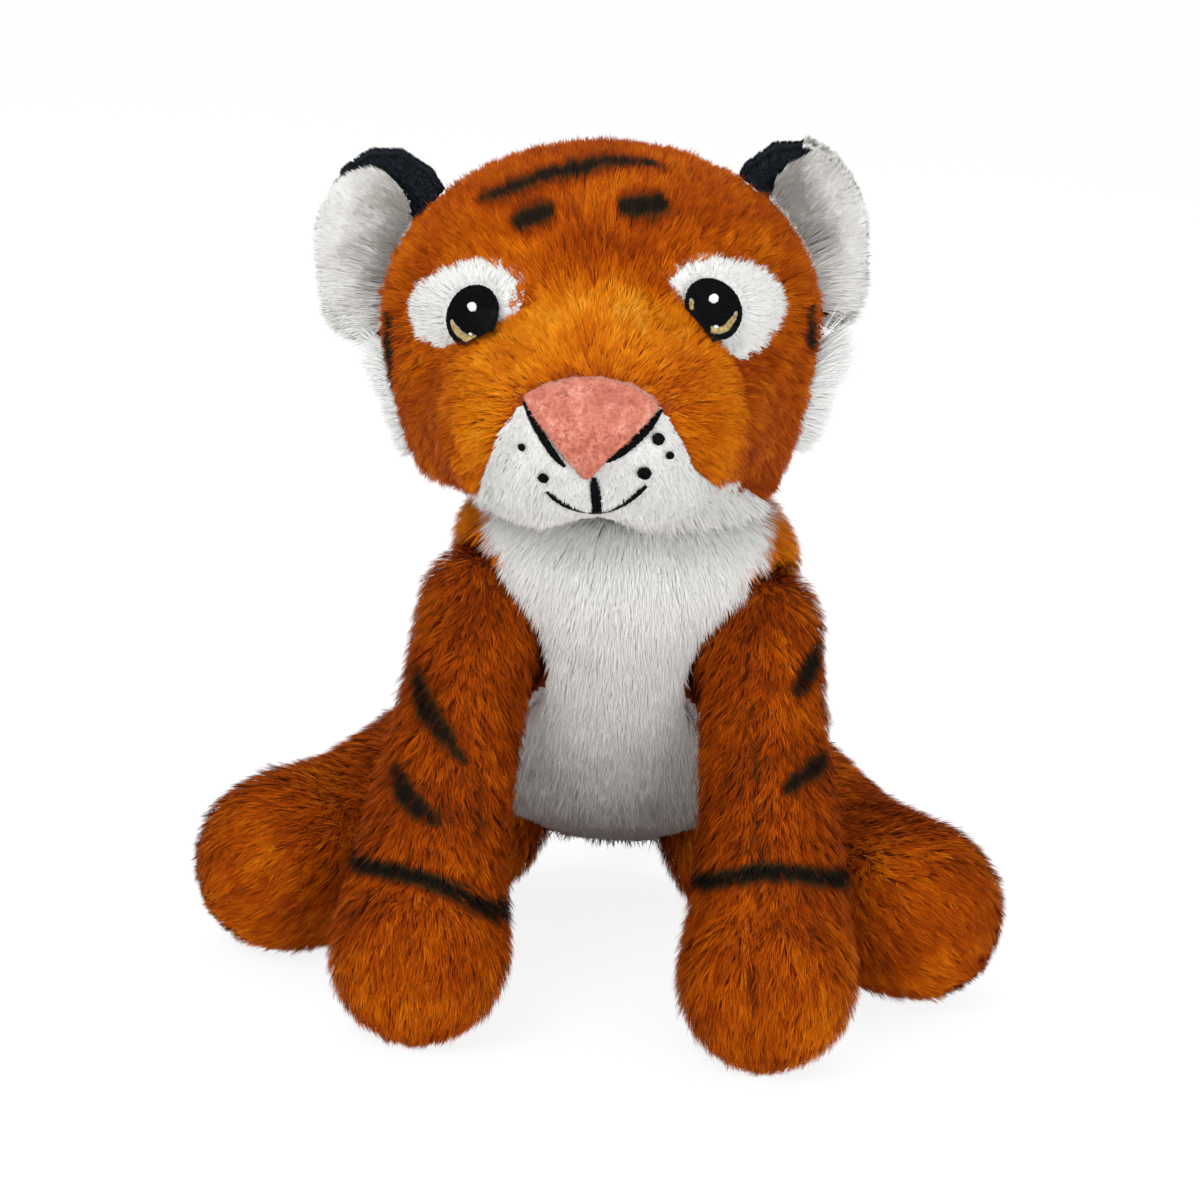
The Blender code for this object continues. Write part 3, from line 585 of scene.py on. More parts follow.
def spread(mesh, values, rounds):
    """Values at the vertices, evened out along the edges."""
    edges = np.empty(len(mesh.edges) * 2, np.int32)
    mesh.edges.foreach_get("vertices", edges)
    edges = edges.reshape(-1, 2)
    degree = np.bincount(edges.ravel(), minlength=len(values))
    for _ in range(rounds):
        total = np.bincount(edges[:, 0], values[edges[:, 1]], len(values))
        total += np.bincount(edges[:, 1], values[edges[:, 0]], len(values))
        values = (values + total / np.maximum(degree, 1)) / 2
    return values


def lift_mesh(mesh, rises):
    points, _, normals = mesh_arrays(mesh)
    mesh.vertices.foreach_set("co", (points + normals * rises[:, None]).astype(np.float32).ravel())
    mesh.update()


def covered(points, normals, tree, below=0.004, above=0.010):
    """True where a ray along the normal meets the tree's surface."""
    found = np.zeros(len(points), bool)
    for k, (point, normal) in enumerate(zip(points, normals)):
        start = Vector(point - normal * below)
        found[k] = tree.ray_cast(start, Vector(normal), below + above)[0] is not None
    return found


def distances(points, tree, reach):
    """How far each point is from the tree's surface, up to the reach."""
    found = np.full(len(points), reach)
    for k, point in enumerate(points):
        nearest = tree.find_nearest(Vector(point), reach)
        if nearest[0] is not None:
            found[k] = nearest[3]
    return found


def swollen(mesh, lines):
    """The form blown up against its seams by a short cloth simulation."""
    points = mesh_arrays(mesh)[0]
    held = np.zeros(len(points))
    for line in lines:
        held = np.maximum(held, np.exp(-(line_distance(points, line)[0] / CREASE_HALF_WIDTH) ** 2))
    piece = bpy.data.objects.new("work", mesh.copy())
    bpy.context.scene.collection.objects.link(piece)
    pins = piece.vertex_groups.new(name="seams")
    for k in np.flatnonzero(held > 0.05):
        pins.add([int(k)], float(held[k]), "REPLACE")
    cloth = piece.modifiers.new("cloth", "CLOTH")
    cloth.settings.quality = 3
    cloth.settings.mass = 0.15
    cloth.settings.use_pressure = True
    cloth.settings.uniform_pressure_force = PRESSURE
    cloth.settings.effector_weights.gravity = 0
    cloth.settings.vertex_group_mass = "seams"
    cloth.point_cache.frame_end = SWELL_FRAMES
    for step in range(1, SWELL_FRAMES + 1):
        bpy.context.scene.frame_set(step)
    moved = evaluated_mesh(piece)
    moves = numbers_of(moved.vertices, "co", 3) - points
    bpy.data.objects.remove(piece, do_unlink=True)
    bpy.context.scene.frame_set(1)
    far = np.linalg.norm(moves, axis=1, keepdims=True)
    points += moves * np.minimum(1, SWELL / np.maximum(far, 1e-9))
    mesh.vertices.foreach_set("co", points.astype(np.float32).ravel())
    mesh.update()


# Pile


def scattered(mesh, density, rng):
    """(points, normals) spread evenly over a mesh."""
    points, triangles, normals = mesh_arrays(mesh)
    a, b, c = (points[triangles[:, k]] for k in range(3))
    areas = np.linalg.norm(np.cross(b - a, c - a), axis=1) / 2
    count = int(areas.sum() * density)
    chosen = rng.choice(len(triangles), count, p=areas / areas.sum())
    s, t = rng.random((2, count))
    folded = s + t > 1
    s[folded], t[folded] = 1 - s[folded], 1 - t[folded]
    weights = np.stack([1 - s - t, s, t], 1)[:, :, None]
    corners = triangles[chosen]
    return (points[corners] * weights).sum(1), unit((normals[corners] * weights).sum(1))


def clumped(points, size, rng):
    """For each point, the number of the clump that it belongs to, and for each clump its first point."""
    count = max(1, int(len(points) / size))
    seeds = rng.choice(len(points), count, replace=False)
    tree = KDTree(count)
    for k, seed in enumerate(seeds):
        tree.insert(Vector(points[seed]), k)
    tree.balance()
    owners = np.array([tree.find(Vector(point))[1] for point in points])
    return owners, seeds


class Coat:
    """Strands as rows: their roots, bends and tips, the ways across them, normals to shade by and tints."""

    def __init__(self, **rows):
        self.rows = rows

    def part(self, mask):
        return Coat(**{name: values[mask] for name, values in self.rows.items()})

    def at(self, share):
        """The places at a share of each strand's length."""
        rows = self.rows
        rest = 1 - share
        return rest**2 * rows["roots"] + 2 * share * rest * rows["bends"] + share**2 * rows["tips"]

    def mesh(self, name, material):
        """Curved tapered ribbons, shaded like the surface that they cover.

        Their map holds the tint across and the way from the root to the tip upwards.
        """
        rows = self.rows
        count, rings = len(rows["roots"]), len(RING_SHARES)
        points, across_map = [], []
        tints = np.clip(rows["tints"], 2 * TINT_HALF_WIDTH, 1 - 2 * TINT_HALF_WIDTH)
        for k, (share, taper) in enumerate(zip(RING_SHARES, RING_TAPERS)):
            for side in (-1, 1):
                points.append(self.at(share) + side * taper * rows["sides"])
                across_map.append(tints[:, k] + side * TINT_HALF_WIDTH)
        points = np.stack([*points, rows["tips"]], 1)
        points[:, :, 2] = np.maximum(points[:, :, 2], FLOOR_CLEARANCE)
        across_map = np.stack([*across_map, tints[:, -1]], 1).ravel()
        up_map = np.tile([*np.repeat(RING_SHARES, 2) * 0.96 + 0.02, 0.98], count)
        base = np.arange(count)[:, None] * (2 * rings + 1)
        quads = [base + 2 * k + np.array([0, 1, 3, 2]) for k in range(rings - 1)]
        ends = base + 2 * (rings - 1) + np.array([0, 1, 2])
        faces = [np.concatenate(quads), ends]
        mesh = mesh_from(name, points.reshape(-1, 3), faces, material)
        leaning = unit(rows["normals"] + 0.3 * unit(rows["tips"] - rows["roots"]))
        mesh.normals_split_custom_set_from_vertices(np.repeat(leaning, 2 * rings + 1, axis=0))
        corners = np.concatenate([part.ravel() for part in faces])
        layer = mesh.uv_layers.new(name="OFBake")
        places = np.stack([across_map[corners], up_map[corners]], 1)
        layer.data.foreach_set("uv", places.astype(np.float32).ravel())
        return mesh


def outward(normals):
    """The normals with those that look down turned towards level."""
    turned = normals.copy()
    turned[:, 2] *= 1 - 0.8 * (normals[:, 2] < 0)
    return unit(turned)


def grown(points, normals, combs, lengths, tints, dye, rng, lift=ORANGE_LIFT,
          half_width=STRAND_HALF_WIDTH, clump=9, gather=0.24, stray=0.20, roll=0.30, turned=(0, 0, 0)):
    """A coat of pile.

    The combs are the ways it lies, dye gives the darkness at a place, and the strands face the turned way
    more than the surface below them does.
    """
    owners, seeds = clumped(points, clump, rng)
    count = len(points)
    clump_way = combs[seeds] + rng.normal(0, stray, (len(seeds), 3))
    clump_lift = 1 + rng.normal(0, CLUMP_LIFT_SPREAD, len(seeds))
    ways = along_surface(clump_way[owners] + rng.normal(0, STRAND_WAY_SPREAD, (count, 3)), normals)
    angles = np.radians(lift) * clump_lift[owners] * (1 + rng.normal(0, STRAND_LIFT_SPREAD, count))
    ways = ways * np.cos(angles)[:, None] + normals * np.sin(angles)[:, None]
    reach = lengths * (1 + rng.normal(0, LENGTH_SPREAD, count))
    tips = points + ways * reach[:, None]
    clump_tips = tips[seeds][owners] + (points - points[seeds][owners]) * 0.25
    share = gather * (0.5 + rng.random(len(seeds)))[owners][:, None]
    tips = tips * (1 - share) + clump_tips * share
    roots = points - normals * ROOT_DEPTH
    normals = unit(outward(normals) + np.array(turned))
    across = unit(np.cross(tips - roots, normals))
    rise = unit(np.cross(across, tips - roots))
    roll = rng.normal(0, roll, count)[:, None]
    widths = (half_width * (0.75 + 0.5 * rng.random(count)))[:, None]
    coat = Coat(
        roots=roots, tips=tips, bends=(roots + tips) / 2 + normals * (reach * STRAND_BEND)[:, None],
        sides=(across * np.cos(roll) + rise * np.sin(roll)) * widths, normals=normals,
    )
    tints = tints + rng.normal(0, TINT_SPREAD, len(seeds))[owners] + rng.normal(0, TINT_SPREAD, count)
    darkness = np.stack([dye(coat.at(share)) for share in (*RING_SHARES, 1.0)], 1)
    coat.rows["tints"] = tints[:, None] * (1 - darkness) + DYED_TINT * darkness
    return coat


def tufted(places, points, normals, rng):
    """Two strands for each place: the places' numbers, and where the strands stand."""
    rows = np.tile(places, 2)
    return rows, points[rows] + along_surface(rng.normal(0, 1, (len(rows), 3)), normals[rows]) * TUFT_SPLAY


def patchiness(points, scale):
    """Slow variation over the coat, about -1 to 1."""
    return np.array([noise.noise(Vector(point) / scale) for point in points])


def line_distance(points, line):
    """How far each point is from the line through the given points, and its share of the line's length."""
    nearest = np.full(len(points), np.inf)
    place = np.zeros(len(points))
    steps = np.linalg.norm(np.diff(line, axis=0), axis=1)
    travelled = 0.0
    for start, end, step in zip(line, line[1:], steps):
        way = end - start
        share = np.clip((points - start) @ way / step**2, 0, 1)
        gap = np.linalg.norm(points - start - share[:, None] * way, axis=1)
        place = np.where(gap < nearest, (travelled + share * step) / steps.sum(), place)
        nearest = np.minimum(nearest, gap)
        travelled += step
    return nearest, place


def edged(distance, half_width, blur=0.0011):
    """1 inside a mark and 0 outside it, with a soft edge."""
    return np.clip((half_width + blur - distance) / (2 * blur), 0, 1)


def photo_points(pixels, tree):
    """Where the photograph's pixels meet the tree's surface."""
    camera = bpy.context.scene.camera.matrix_world
    found = []
    for x, y in pixels:
        way = Vector(((x - TARGET_PIXEL[0]) / FOCAL_PIXELS, (TARGET_PIXEL[1] - y) / FOCAL_PIXELS, -1))
        place = tree.ray_cast(camera.translation, camera.to_3x3() @ way)[0]
        if place is not None:
            found.append(tuple(place))
    return np.array(found)


def no_dye(points):
    return np.zeros(len(points))


def striped(stripes, blur=0.0011):
    """Dye for brush strokes: points, half width, and whether the ends taper."""
    def dye(places):
        darkness = np.zeros(len(places))
        for line, half_width, tapered in stripes:
            gap, share = line_distance(places, line)
            near = gap < 3 * half_width
            width = half_width * (np.sin(np.pi * share[near]) ** 0.3 if tapered else 1)
            uneven = 0.0007 * patchiness(places[near], 0.0035)
            stroke = edged(gap[near] + uneven, width, blur)
            darkness[near] = np.maximum(darkness[near], stroke)
        return darkness
    return dye


def form_piece(name, mesh, body, slot, cloths, replaced, white=None):
    """A padded form whose faces in the white mask take the second cloth."""
    mesh.materials.clear()
    for cloth in cloths:
        mesh.materials.append(MATERIALS[cloth])
    if white is not None:
        mesh.polygons.foreach_set("material_index", white.astype(np.int32))
    form = link(name, mesh, body, slot)
    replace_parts(form, *replaced)


def face_middles(mesh):
    return numbers_of(mesh.polygons, "center", 3), numbers_of(mesh.polygons, "normal", 3)


def creased(mesh, lines, deep=1.0):
    """Draws the form in along the lines."""
    for line in lines:
        points = mesh_arrays(mesh)[0]
        depth = deep * CREASE_DEPTH * np.exp(-(line_distance(points, line)[0] / CREASE_HALF_WIDTH) ** 2)
        lift_mesh(mesh, -depth)


def thinned(points, normals, tree, gap=BODY_CLEARANCE):
    """Leaves out the points that lie against another piece."""
    return picked(distances(points, tree, gap) >= gap, points, normals)


def orange_tints(points, tint):
    return tint + 0.12 * patchiness(points, 0.014) + 0.06 * patchiness(points, 0.005)


def banded(points, half_width):
    """Dye in a band across the front of a limb, through the points."""
    curve = np.polyfit(points[:, 0], points[:, 2], 2)
    back = points[:, 1].max() + 0.015

    def dye(places):
        gap = np.abs(places[:, 2] - np.polyval(curve, places[:, 0]))
        near = (gap < 3 * half_width) & (places[:, 1] < back)
        darkness = np.zeros(len(places))
        darkness[near] = edged(gap[near] + 0.0006 * patchiness(places[near], 0.0030), half_width)
        return darkness
    return dye


def near_creases(points, lines, half_width=0.0012, blur=0.0016):
    nearness = np.zeros(len(points))
    for line in lines:
        nearness = np.maximum(nearness, edged(line_distance(points, line)[0], half_width, blur))
    return nearness


def laid_on(lines, mesh):
    """The lines, with their points moved to the nearest places of the form."""
    tree = tree_from([mesh])
    return [array_of(tree.find_nearest(Vector(point))[0] for point in line) for line in lines]


def link_coat(name, coat, body, colour):
    """The coat's piece, or the front one of two where it has more strands than the limit."""
    depth = coat.rows["roots"][:, 1]
    if len(depth) > STRAND_LIMIT:
        behind = depth > np.median(depth)
        link(name + "_back", coat.part(behind).mesh(name + "_back", MATERIALS[colour]), body, colour)
        name, coat = name + "_front", coat.part(~behind)
    return link(name, coat.mesh(name, MATERIALS[colour]), body, colour)


def make_limb(name, comb, dye, creases, neighbours, tint, length=ORANGE_LENGTH):
    """A stuffed limb and its pile, which lies along the comb."""
    rng = np.random.default_rng(len(name) + 11)
    mesh = remeshed(name + "_stuffing", VOXEL, 4)
    lift_mesh(mesh, np.full(len(mesh.vertices), -SKIN_DEPTH))
    creased(mesh, creases)
    swollen(mesh, creases)
    form_piece(name + "_form", mesh, name, "orange_plush", ["orange_cloth"],
               [name + "_skin", name + "_stuffing"])
    points, normals = thinned(*scattered(mesh, DENSITY, rng), tree_of(*neighbours))
    near = near_creases(points, laid_on(creases, mesh), 0.0007, 0.0012)
    # Painted shade darkens the pile along the creases.
    tints = orange_tints(points, tint(points)) - 0.24 * near
    lengths = length * (1 - 0.35 * near)
    combs = along_surface(comb(points), normals)
    coat = grown(points, normals, combs, lengths, tints, dye, rng)
    link_coat(name + "_pile", coat, name, "orange_plush")


def combed(*way):
    return lambda points: np.tile(way, (len(points), 1))


def leg_tint(points):
    """Paler from the ankle down, with painted light at the outer shoulder."""
    low = graded(points[:, 2], 0.052, 0.032)
    high = graded(points[:, 2], 0.100, 0.125)
    outer = graded(np.abs(points[:, 0]), 0.040, 0.055)
    return BODY_TINT + (PAW_TINT - BODY_TINT) * np.maximum(low, high * outer * 1.9)


def even_tint(tint):
    return lambda points: np.full(len(points), tint)


def make_legs():
    for side, sign in SIDES.items():
        name = "front_leg_" + side
        tree = tree_of(name + "_skin")
        lines = [(photo_points(line, tree), half_width, True) for line, half_width in LEG_STRIPES[name]]
        stripes = striped(lines)
        pixels, half_width = ANKLE_BANDS[name]
        band = banded(photo_points(pixels, tree), half_width)
        creases = [photo_points(LEG_CREASES[name], tree)]
        make_limb(name, combed(0.0, -0.35, -1.0), lambda places: np.maximum(stripes(places), band(places)),
                  creases, ["torso_skin", "chest_panel"], leg_tint)
        name = "hind_leg_" + side
        creases = [photo_points(HIND_CREASE, tree_of(name + "_skin"))] if side == "right" else []
        make_limb(name, combed(0.75 * sign, -0.45, -0.45), no_dye, creases, ["torso_skin"],
                  even_tint(HIND_LEG_TINT))


def tail_rings(places):
    root = JOINTS["tail_swing"]["pos_m"][0]
    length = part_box("tail_skin")[1].x - root
    share = (places[:, 0] - root) / length * TAIL_RINGS
    gap = np.abs(share - np.floor(share) - 0.7) * length / TAIL_RINGS
    return edged(gap + 0.0006 * patchiness(places, 0.004), TAIL_RING_HALF_WIDTH)


def make_tail():
    make_limb("tail", combed(1.0, 0.1, -0.1), tail_rings, [], ["torso_skin"], even_tint(HIND_LEG_TINT),
              length=TAIL_LENGTH)


def on_bib(points, normals):
    """True on the white bib, which runs on below the chest under the belly."""
    white = covered(points, normals, tree_of("chest_panel"))
    below = (points[:, 2] < BIB_LOW) & (np.abs(points[:, 0]) < BIB_HALF_WIDTH) & (points[:, 1] < 0.040)
    above = (points[:, 2] > BIB_HIGH) & (np.abs(points[:, 0]) < BIB_HALF_WIDTH) & (points[:, 1] < -0.012)
    return white | below | above


def back_stripes(places):
    darkness = np.zeros(len(places))
    behind = places[:, 1] > 0.040
    at = places[behind]
    uneven = 0.0010 * patchiness(at, 0.004)
    for height in BACK_STRIPES:
        gap = np.abs(at[:, 2] - height - 0.10 * np.abs(at[:, 0]))
        width = BACK_STRIPE_HALF_WIDTH * graded(np.abs(at[:, 0]), 0.047, 0.017)
        darkness[behind] = np.maximum(darkness[behind], edged(gap + uneven, width))
    return darkness


def make_torso():
    rng = np.random.default_rng(21)
    mesh = remeshed("torso_stuffing", VOXEL, 4)
    points, _, normals = mesh_arrays(mesh)
    under = spread(mesh, on_bib(points, normals).astype(float), 3)
    lift_mesh(mesh, -SKIN_DEPTH + 0.0006 * under)
    swollen(mesh, [])
    form_piece("torso_form", mesh, "torso", "orange_plush", ["orange_cloth", "white_cloth"],
               ["torso_skin", "torso_stuffing"], white=on_bib(*face_middles(mesh)))
    limbs = [f"{end}_leg_{side}_skin" for end in ("front", "hind") for side in SIDES]
    points, normals = thinned(*scattered(mesh, DENSITY, rng), tree_of(*limbs, "tail_skin"))
    points, normals = thinned(points, normals, tree_of("head_skin"), 0.0020)
    white = on_bib(points, normals)
    orange = ~white
    down = np.tile([0.0, 0.0, -1.0], (len(points), 1))
    down[:, 0] = 0.45 * white * points[:, 0] / 0.035
    combs = along_surface(down, normals)
    # Painted light on the upper front of the body, where the head's shadow falls.
    lit_neck = graded(points[:, 2], 0.100, 0.115) * (points[:, 1] < 0.010)
    tints = orange_tints(points, TORSO_TINT) + 0.16 * lit_neck
    lengths = ORANGE_LENGTH * (1 - 0.6 * np.clip(-normals[:, 2] * 1.5, 0, 1))
    coat = grown(*picked(orange, points, normals, combs, lengths, tints), back_stripes, rng)
    behind, left = coat.rows["roots"][:, 1] > 0.03, coat.rows["roots"][:, 0] < 0
    link_coat("back_pile", coat.part(behind), "torso", "orange_plush")
    link_coat("belly_pile_left", coat.part(~behind & left), "torso", "orange_plush")
    link_coat("belly_pile_right", coat.part(~behind & ~left), "torso", "orange_plush")
    white, spots = tufted(np.flatnonzero(white), points, normals, rng)
    tints = WHITE_TINT - 0.12 + 0.05 * patchiness(points[white], 0.010)
    # Painted light at the bib's top under the chin's shadow, and painted shade darkening its lower part.
    tints += 0.20 * graded(points[white][:, 2], 0.105, 0.125)
    tints -= 0.55 * graded(points[white][:, 2], 0.084, 0.034)
    low = np.clip((points[white][:, 2] - 0.030) / 0.020, 0.5, 1)
    coat = grown(spots, normals[white], combs[white], BIB_LENGTH * low, tints, no_dye, rng,
                 lift=16.0, stray=0.05, **WHITE_PILE)
    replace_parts(link_coat("bib_pile", coat, "torso", "white_plush"), "chest_panel")


# Head


WHITE_PATCHES = ["eye_patch_left", "eye_patch_right", "chin_panel", "cheek_ruff_left", "cheek_ruff_right"]
PATCH_LIFTS = [13.0, 13.0, 18.0, RUFF_LIFT, RUFF_LIFT]
CHIN = 2
DOT_PLACES = ("left_upper", "left_lower", "right_upper", "right_middle", "right_lower")
DOTS = ["whisker_dot_" + place for place in DOT_PLACES]


def dot_circles():
    """(x, z, radius) of the whisker dots, in the head's own coordinates."""
    circles = []
    for name in DOTS:
        places = to_head(array_of([vertex.co for vertex in NODES[name].data.vertices]))[:, [0, 2]]
        low, high = places.min(0), places.max(0)
        circles.append((*((low + high) / 2), (high - low).max() / 2))
    return circles


def flat_points(pixels, tree):
    """The photograph's pixels as places in the head's own x and z."""
    return to_head(photo_points(pixels, tree))[:, [0, 2]]


def stroke_gap(places, tree):
    """How far places on the face are from the edge of the nearest embroidered stroke or dot."""
    flat = places[:, [0, 2]]
    gaps = [line_distance(flat, flat_points(line, tree))[0] - width for line, width in STROKES.values()]
    gaps += [np.hypot(flat[:, 0] - x, flat[:, 1] - z) - radius for x, z, radius in dot_circles()]
    return np.where(places[:, 1] < -0.03, np.min(gaps, axis=0), 1.0)


def within(flat, outline):
    """True for the rows of x and z that lie inside of the closed outline."""
    inside = np.zeros(len(flat), bool)
    for start, end in zip(outline, np.roll(outline, -1, axis=0)):
        spans = (start[1] > flat[:, 1]) != (end[1] > flat[:, 1])
        rise = end[1] - start[1] if end[1] != start[1] else 1e-9
        crossing = start[0] + (end[0] - start[0]) * (flat[:, 1] - start[1]) / rise
        inside ^= spans & (flat[:, 0] < crossing)
    return inside


def drawn_in(flat, outline):
    """The rows of x and z, with those outside of the closed outline moved onto it."""
    nearest, gaps = flat.copy(), np.full(len(flat), np.inf)
    for start, end in zip(outline, np.roll(outline, -1, axis=0)):
        way = end - start
        share = np.clip((flat - start) @ way / (way @ way), 0, 1)[:, None]
        foot = start + share * way
        gap = np.linalg.norm(flat - foot, axis=1)
        nearest[gap < gaps] = foot[gap < gaps]
        gaps = np.minimum(gaps, gap)
    return np.where(within(flat, outline)[:, None], flat, nearest + 0.1 * (flat - nearest))


def eye_coordinates(places, side):
    """(across, along, beyond the cut) of places on the face, in an eye's own leaning frame."""
    eye, (middle_x, middle_z) = EYES[side], EYE_MIDDLES[side]
    out, up = SIDES[side] * (places[:, 0] - middle_x), places[:, 2] - middle_z
    lean, cut = math.radians(eye["lean"]), math.radians(eye["cut_angle"])
    across = out * math.cos(lean) + up * math.sin(lean)
    along = up * math.cos(lean) - out * math.sin(lean)
    return across, along, -out * math.cos(cut) - up * math.sin(cut) - eye["cut"]


def in_eye(places, side):
    across, along, beyond = eye_coordinates(places, side)
    return ((across / EYE_HALF_WIDTH) ** 2 + (along / EYE_HALF_HEIGHT) ** 2 < 1) & (beyond < 0)


def head_patches(points, normals):
    """For each point, the number of the white patch that it is on, or -1."""
    patch = np.full(len(points), -1)
    for k, name in enumerate(WHITE_PATCHES):
        patch[covered(points, normals, tree_of(name))] = k
    places = to_head(points)
    for k, side in enumerate(SIDES):
        patch[(patch == k) & (eye_coordinates(places, side)[2] > 0.0004)] = -1
    for side, sign in SIDES.items():
        heights, widths = zip(*CHIN_EDGE[side])
        across = sign * places[:, 0]
        chin = (across >= 0) & (across < np.interp(places[:, 2], heights, widths)) & (places[:, 2] < CHIN_TOP)
        patch[(patch < 0) & chin & (places[:, 1] < -0.030 + 0.015 * (places[:, 2] < 0.005))] = CHIN
    return patch


def head_combs(places, patch):
    """The ways that the pile of the head lies, in its own coordinates."""
    combs = unit(places - np.array(NOSE_PLACE))
    low = graded(np.abs(places[:, 0]), 0.025, 0.045) * graded(places[:, 2], 0.060, 0.040)
    combs += np.array([0, 0, -0.9]) * low[:, None]
    for k, (side, sign) in enumerate(SIDES.items()):
        centre = np.array([EYE_MIDDLES[side][0], places[patch == k][:, 1].mean(), EYE_MIDDLES[side][1]])
        ways = unit(places[patch == k] - centre) + np.array([0.35 * sign, 0, 0.2])
        cut = math.radians(EYES[side]["cut_angle"])
        below = np.array([-sign * math.cos(cut), 0, -math.sin(cut)])
        combs[patch == k] = ways - np.maximum(ways @ below, 0)[:, None] * below * 1.2
    combs[patch == CHIN] = [0, 0, -1]
    combs[patch == CHIN, 0] = places[patch == CHIN, 0] / 0.040
    combs[patch > CHIN] = [0, 0.2, 0]
    combs[patch > CHIN, 2] = (places[patch > CHIN, 2] - 0.016) / 0.012
    combs[patch > CHIN, 0] = np.sign(places[patch > CHIN, 0])
    return combs


def head_dye(skin):
    """Dye for the stripes, and fainter round the strokes on the forehead."""
    strokes = [(photo_points(line, skin), half_width, True) for line, half_width in FOREHEAD_STROKES]
    behind = [(array_of(HEAD @ Vector(point) for point in line), width, True) for line, width in HEAD_STRIPES]
    marks = striped(strokes + behind, 0.0014)
    rims = striped([(line, half_width + 0.0022, True) for line, half_width, _ in strokes], 0.0026)
    return lambda points: np.maximum(0.95 * marks(points), 0.5 * rims(points))


def head_points(mesh, form, nose_outline, rng):
    """(points, normals, head places, gaps to the strokes) of pile clear of the nose, eyes and strokes."""
    points, normals = scattered(mesh, FACE_DENSITY, rng)
    kept = (to_head(points)[:, 1] < 0) | (rng.random(len(points)) < DENSITY / FACE_DENSITY)
    points, normals = thinned(*picked(kept, points, normals), tree_of("torso_skin", "chest_panel"))
    places = to_head(points)
    middle = nose_outline.mean(0)
    under_nose = within(places[:, [0, 2]], middle + 0.92 * (nose_outline - middle))
    kept = ~under_nose | (places[:, 1] > -0.03)
    for side in SIDES:
        kept &= ~in_eye(places, side) | (places[:, 1] > -0.02)
    thread_gap = stroke_gap(places, form)
    kept &= thread_gap > 0.0002
    return picked(kept, points, normals, places, thread_gap)


def head_lengths(points, places, patch, thread_gap, rng):
    """How long the pile is on each patch, and shorter beside the strokes, the white patches and the eyes."""
    lengths = np.full(len(points), ORANGE_LENGTH)
    eye_reach = np.clip(1.0 + 0.6 * (np.abs(places[:, 0]) - 0.038) / 0.010, 0.8, 1.6)
    lengths = np.where((patch == 0) | (patch == 1), EYE_PATCH_LENGTH * eye_reach, lengths)
    hanging = 1 + (0.5 + 1.1 * rng.random(len(points))) * graded(places[:, 2], 0.010, 0.002)
    lengths = np.where(patch == CHIN, CHIN_LENGTH * hanging, lengths)
    ruff = patch > CHIN
    lengths[ruff] = RUFF_LENGTH * (0.85 + 0.4 * graded(places[ruff, 2], 0.025, 0.035))
    lengths[ruff] *= 0.75 + 0.25 * (places[ruff, 0] > 0)
    near_thread = 0.45 + 0.55 * graded(thread_gap, 0.0, 0.005)
    lengths = np.minimum(lengths * near_thread, 0.0013 + 1.2 * thread_gap)
    patch_gap = distances(points, tree_of("eye_patch_left", "eye_patch_right"), 0.010)
    near_patch = 0.45 + 0.55 * graded(patch_gap, 0.001, 0.008)
    lengths = np.where(patch < 0, lengths * near_patch, lengths)
    for k, side in enumerate(SIDES):
        across, along, beyond = eye_coordinates(places, side)
        below = (patch < 0) & (beyond > 0) & (np.hypot(across, along) < 0.020) & (places[:, 1] < -0.02)
        lengths[below] = np.minimum(ORANGE_LENGTH * 0.8, (beyond[below] + 0.0012) * 1.3)
        lengths[patch == k] *= np.clip(0.3 - beyond[patch == k] / 0.005, 0.3, 1)
    return lengths


def face_shading(points, places, creases, skin):
    """(share of its length that the pile keeps, its tints), by the face's forms and creases, with painted
    light and shade on the muzzle, nose, brow, cheeks and creases.
    """
    nose_gap = distances(points, tree_of("nose"), 0.020)
    near = near_creases(points, creases)
    dome = np.hypot(places[:, 0] / 0.037, (places[:, 2] - 0.030) / 0.0295)
    muzzle = edged(dome, 1, 0.09) * (places[:, 1] < -0.035)
    top = graded(places[:, 2], 0.046, 0.054)
    right = graded(places[:, 0], 0.018, 0.026)
    painted_brow_shade = edged(line_distance(points, photo_points(BROW_SHADE, skin))[0], 0.0028, 0.0028)
    painted_cheek_shade = near_creases(points, [photo_points(line, skin) for line in CHEEK_SHADES], 0.0028, 0.0042)
    shares = 0.50 + 0.50 * graded(nose_gap, 0.001, 0.013)
    shares *= 1 - 0.25 * near
    shares *= 1 - 0.45 * near_creases(points, creases[2:], 0.0030, 0.0025)
    shares *= (1 - 0.25 * painted_cheek_shade) * (1 - 0.25 * muzzle)
    # The muzzle is paler, with painted light on its top and painted shade on its right side.
    tints = orange_tints(points, HEAD_TINT) + muzzle * (0.17 + 0.09 * top - 0.06 * right)
    # Painted shade round the nose, under the brow's edge, along the cheeks and in the creases.
    tints -= 0.16 * graded(nose_gap, 0.008, 0.0)
    tints -= 0.12 * painted_brow_shade + 0.20 * painted_cheek_shade + 0.08 * near
    return shares, tints


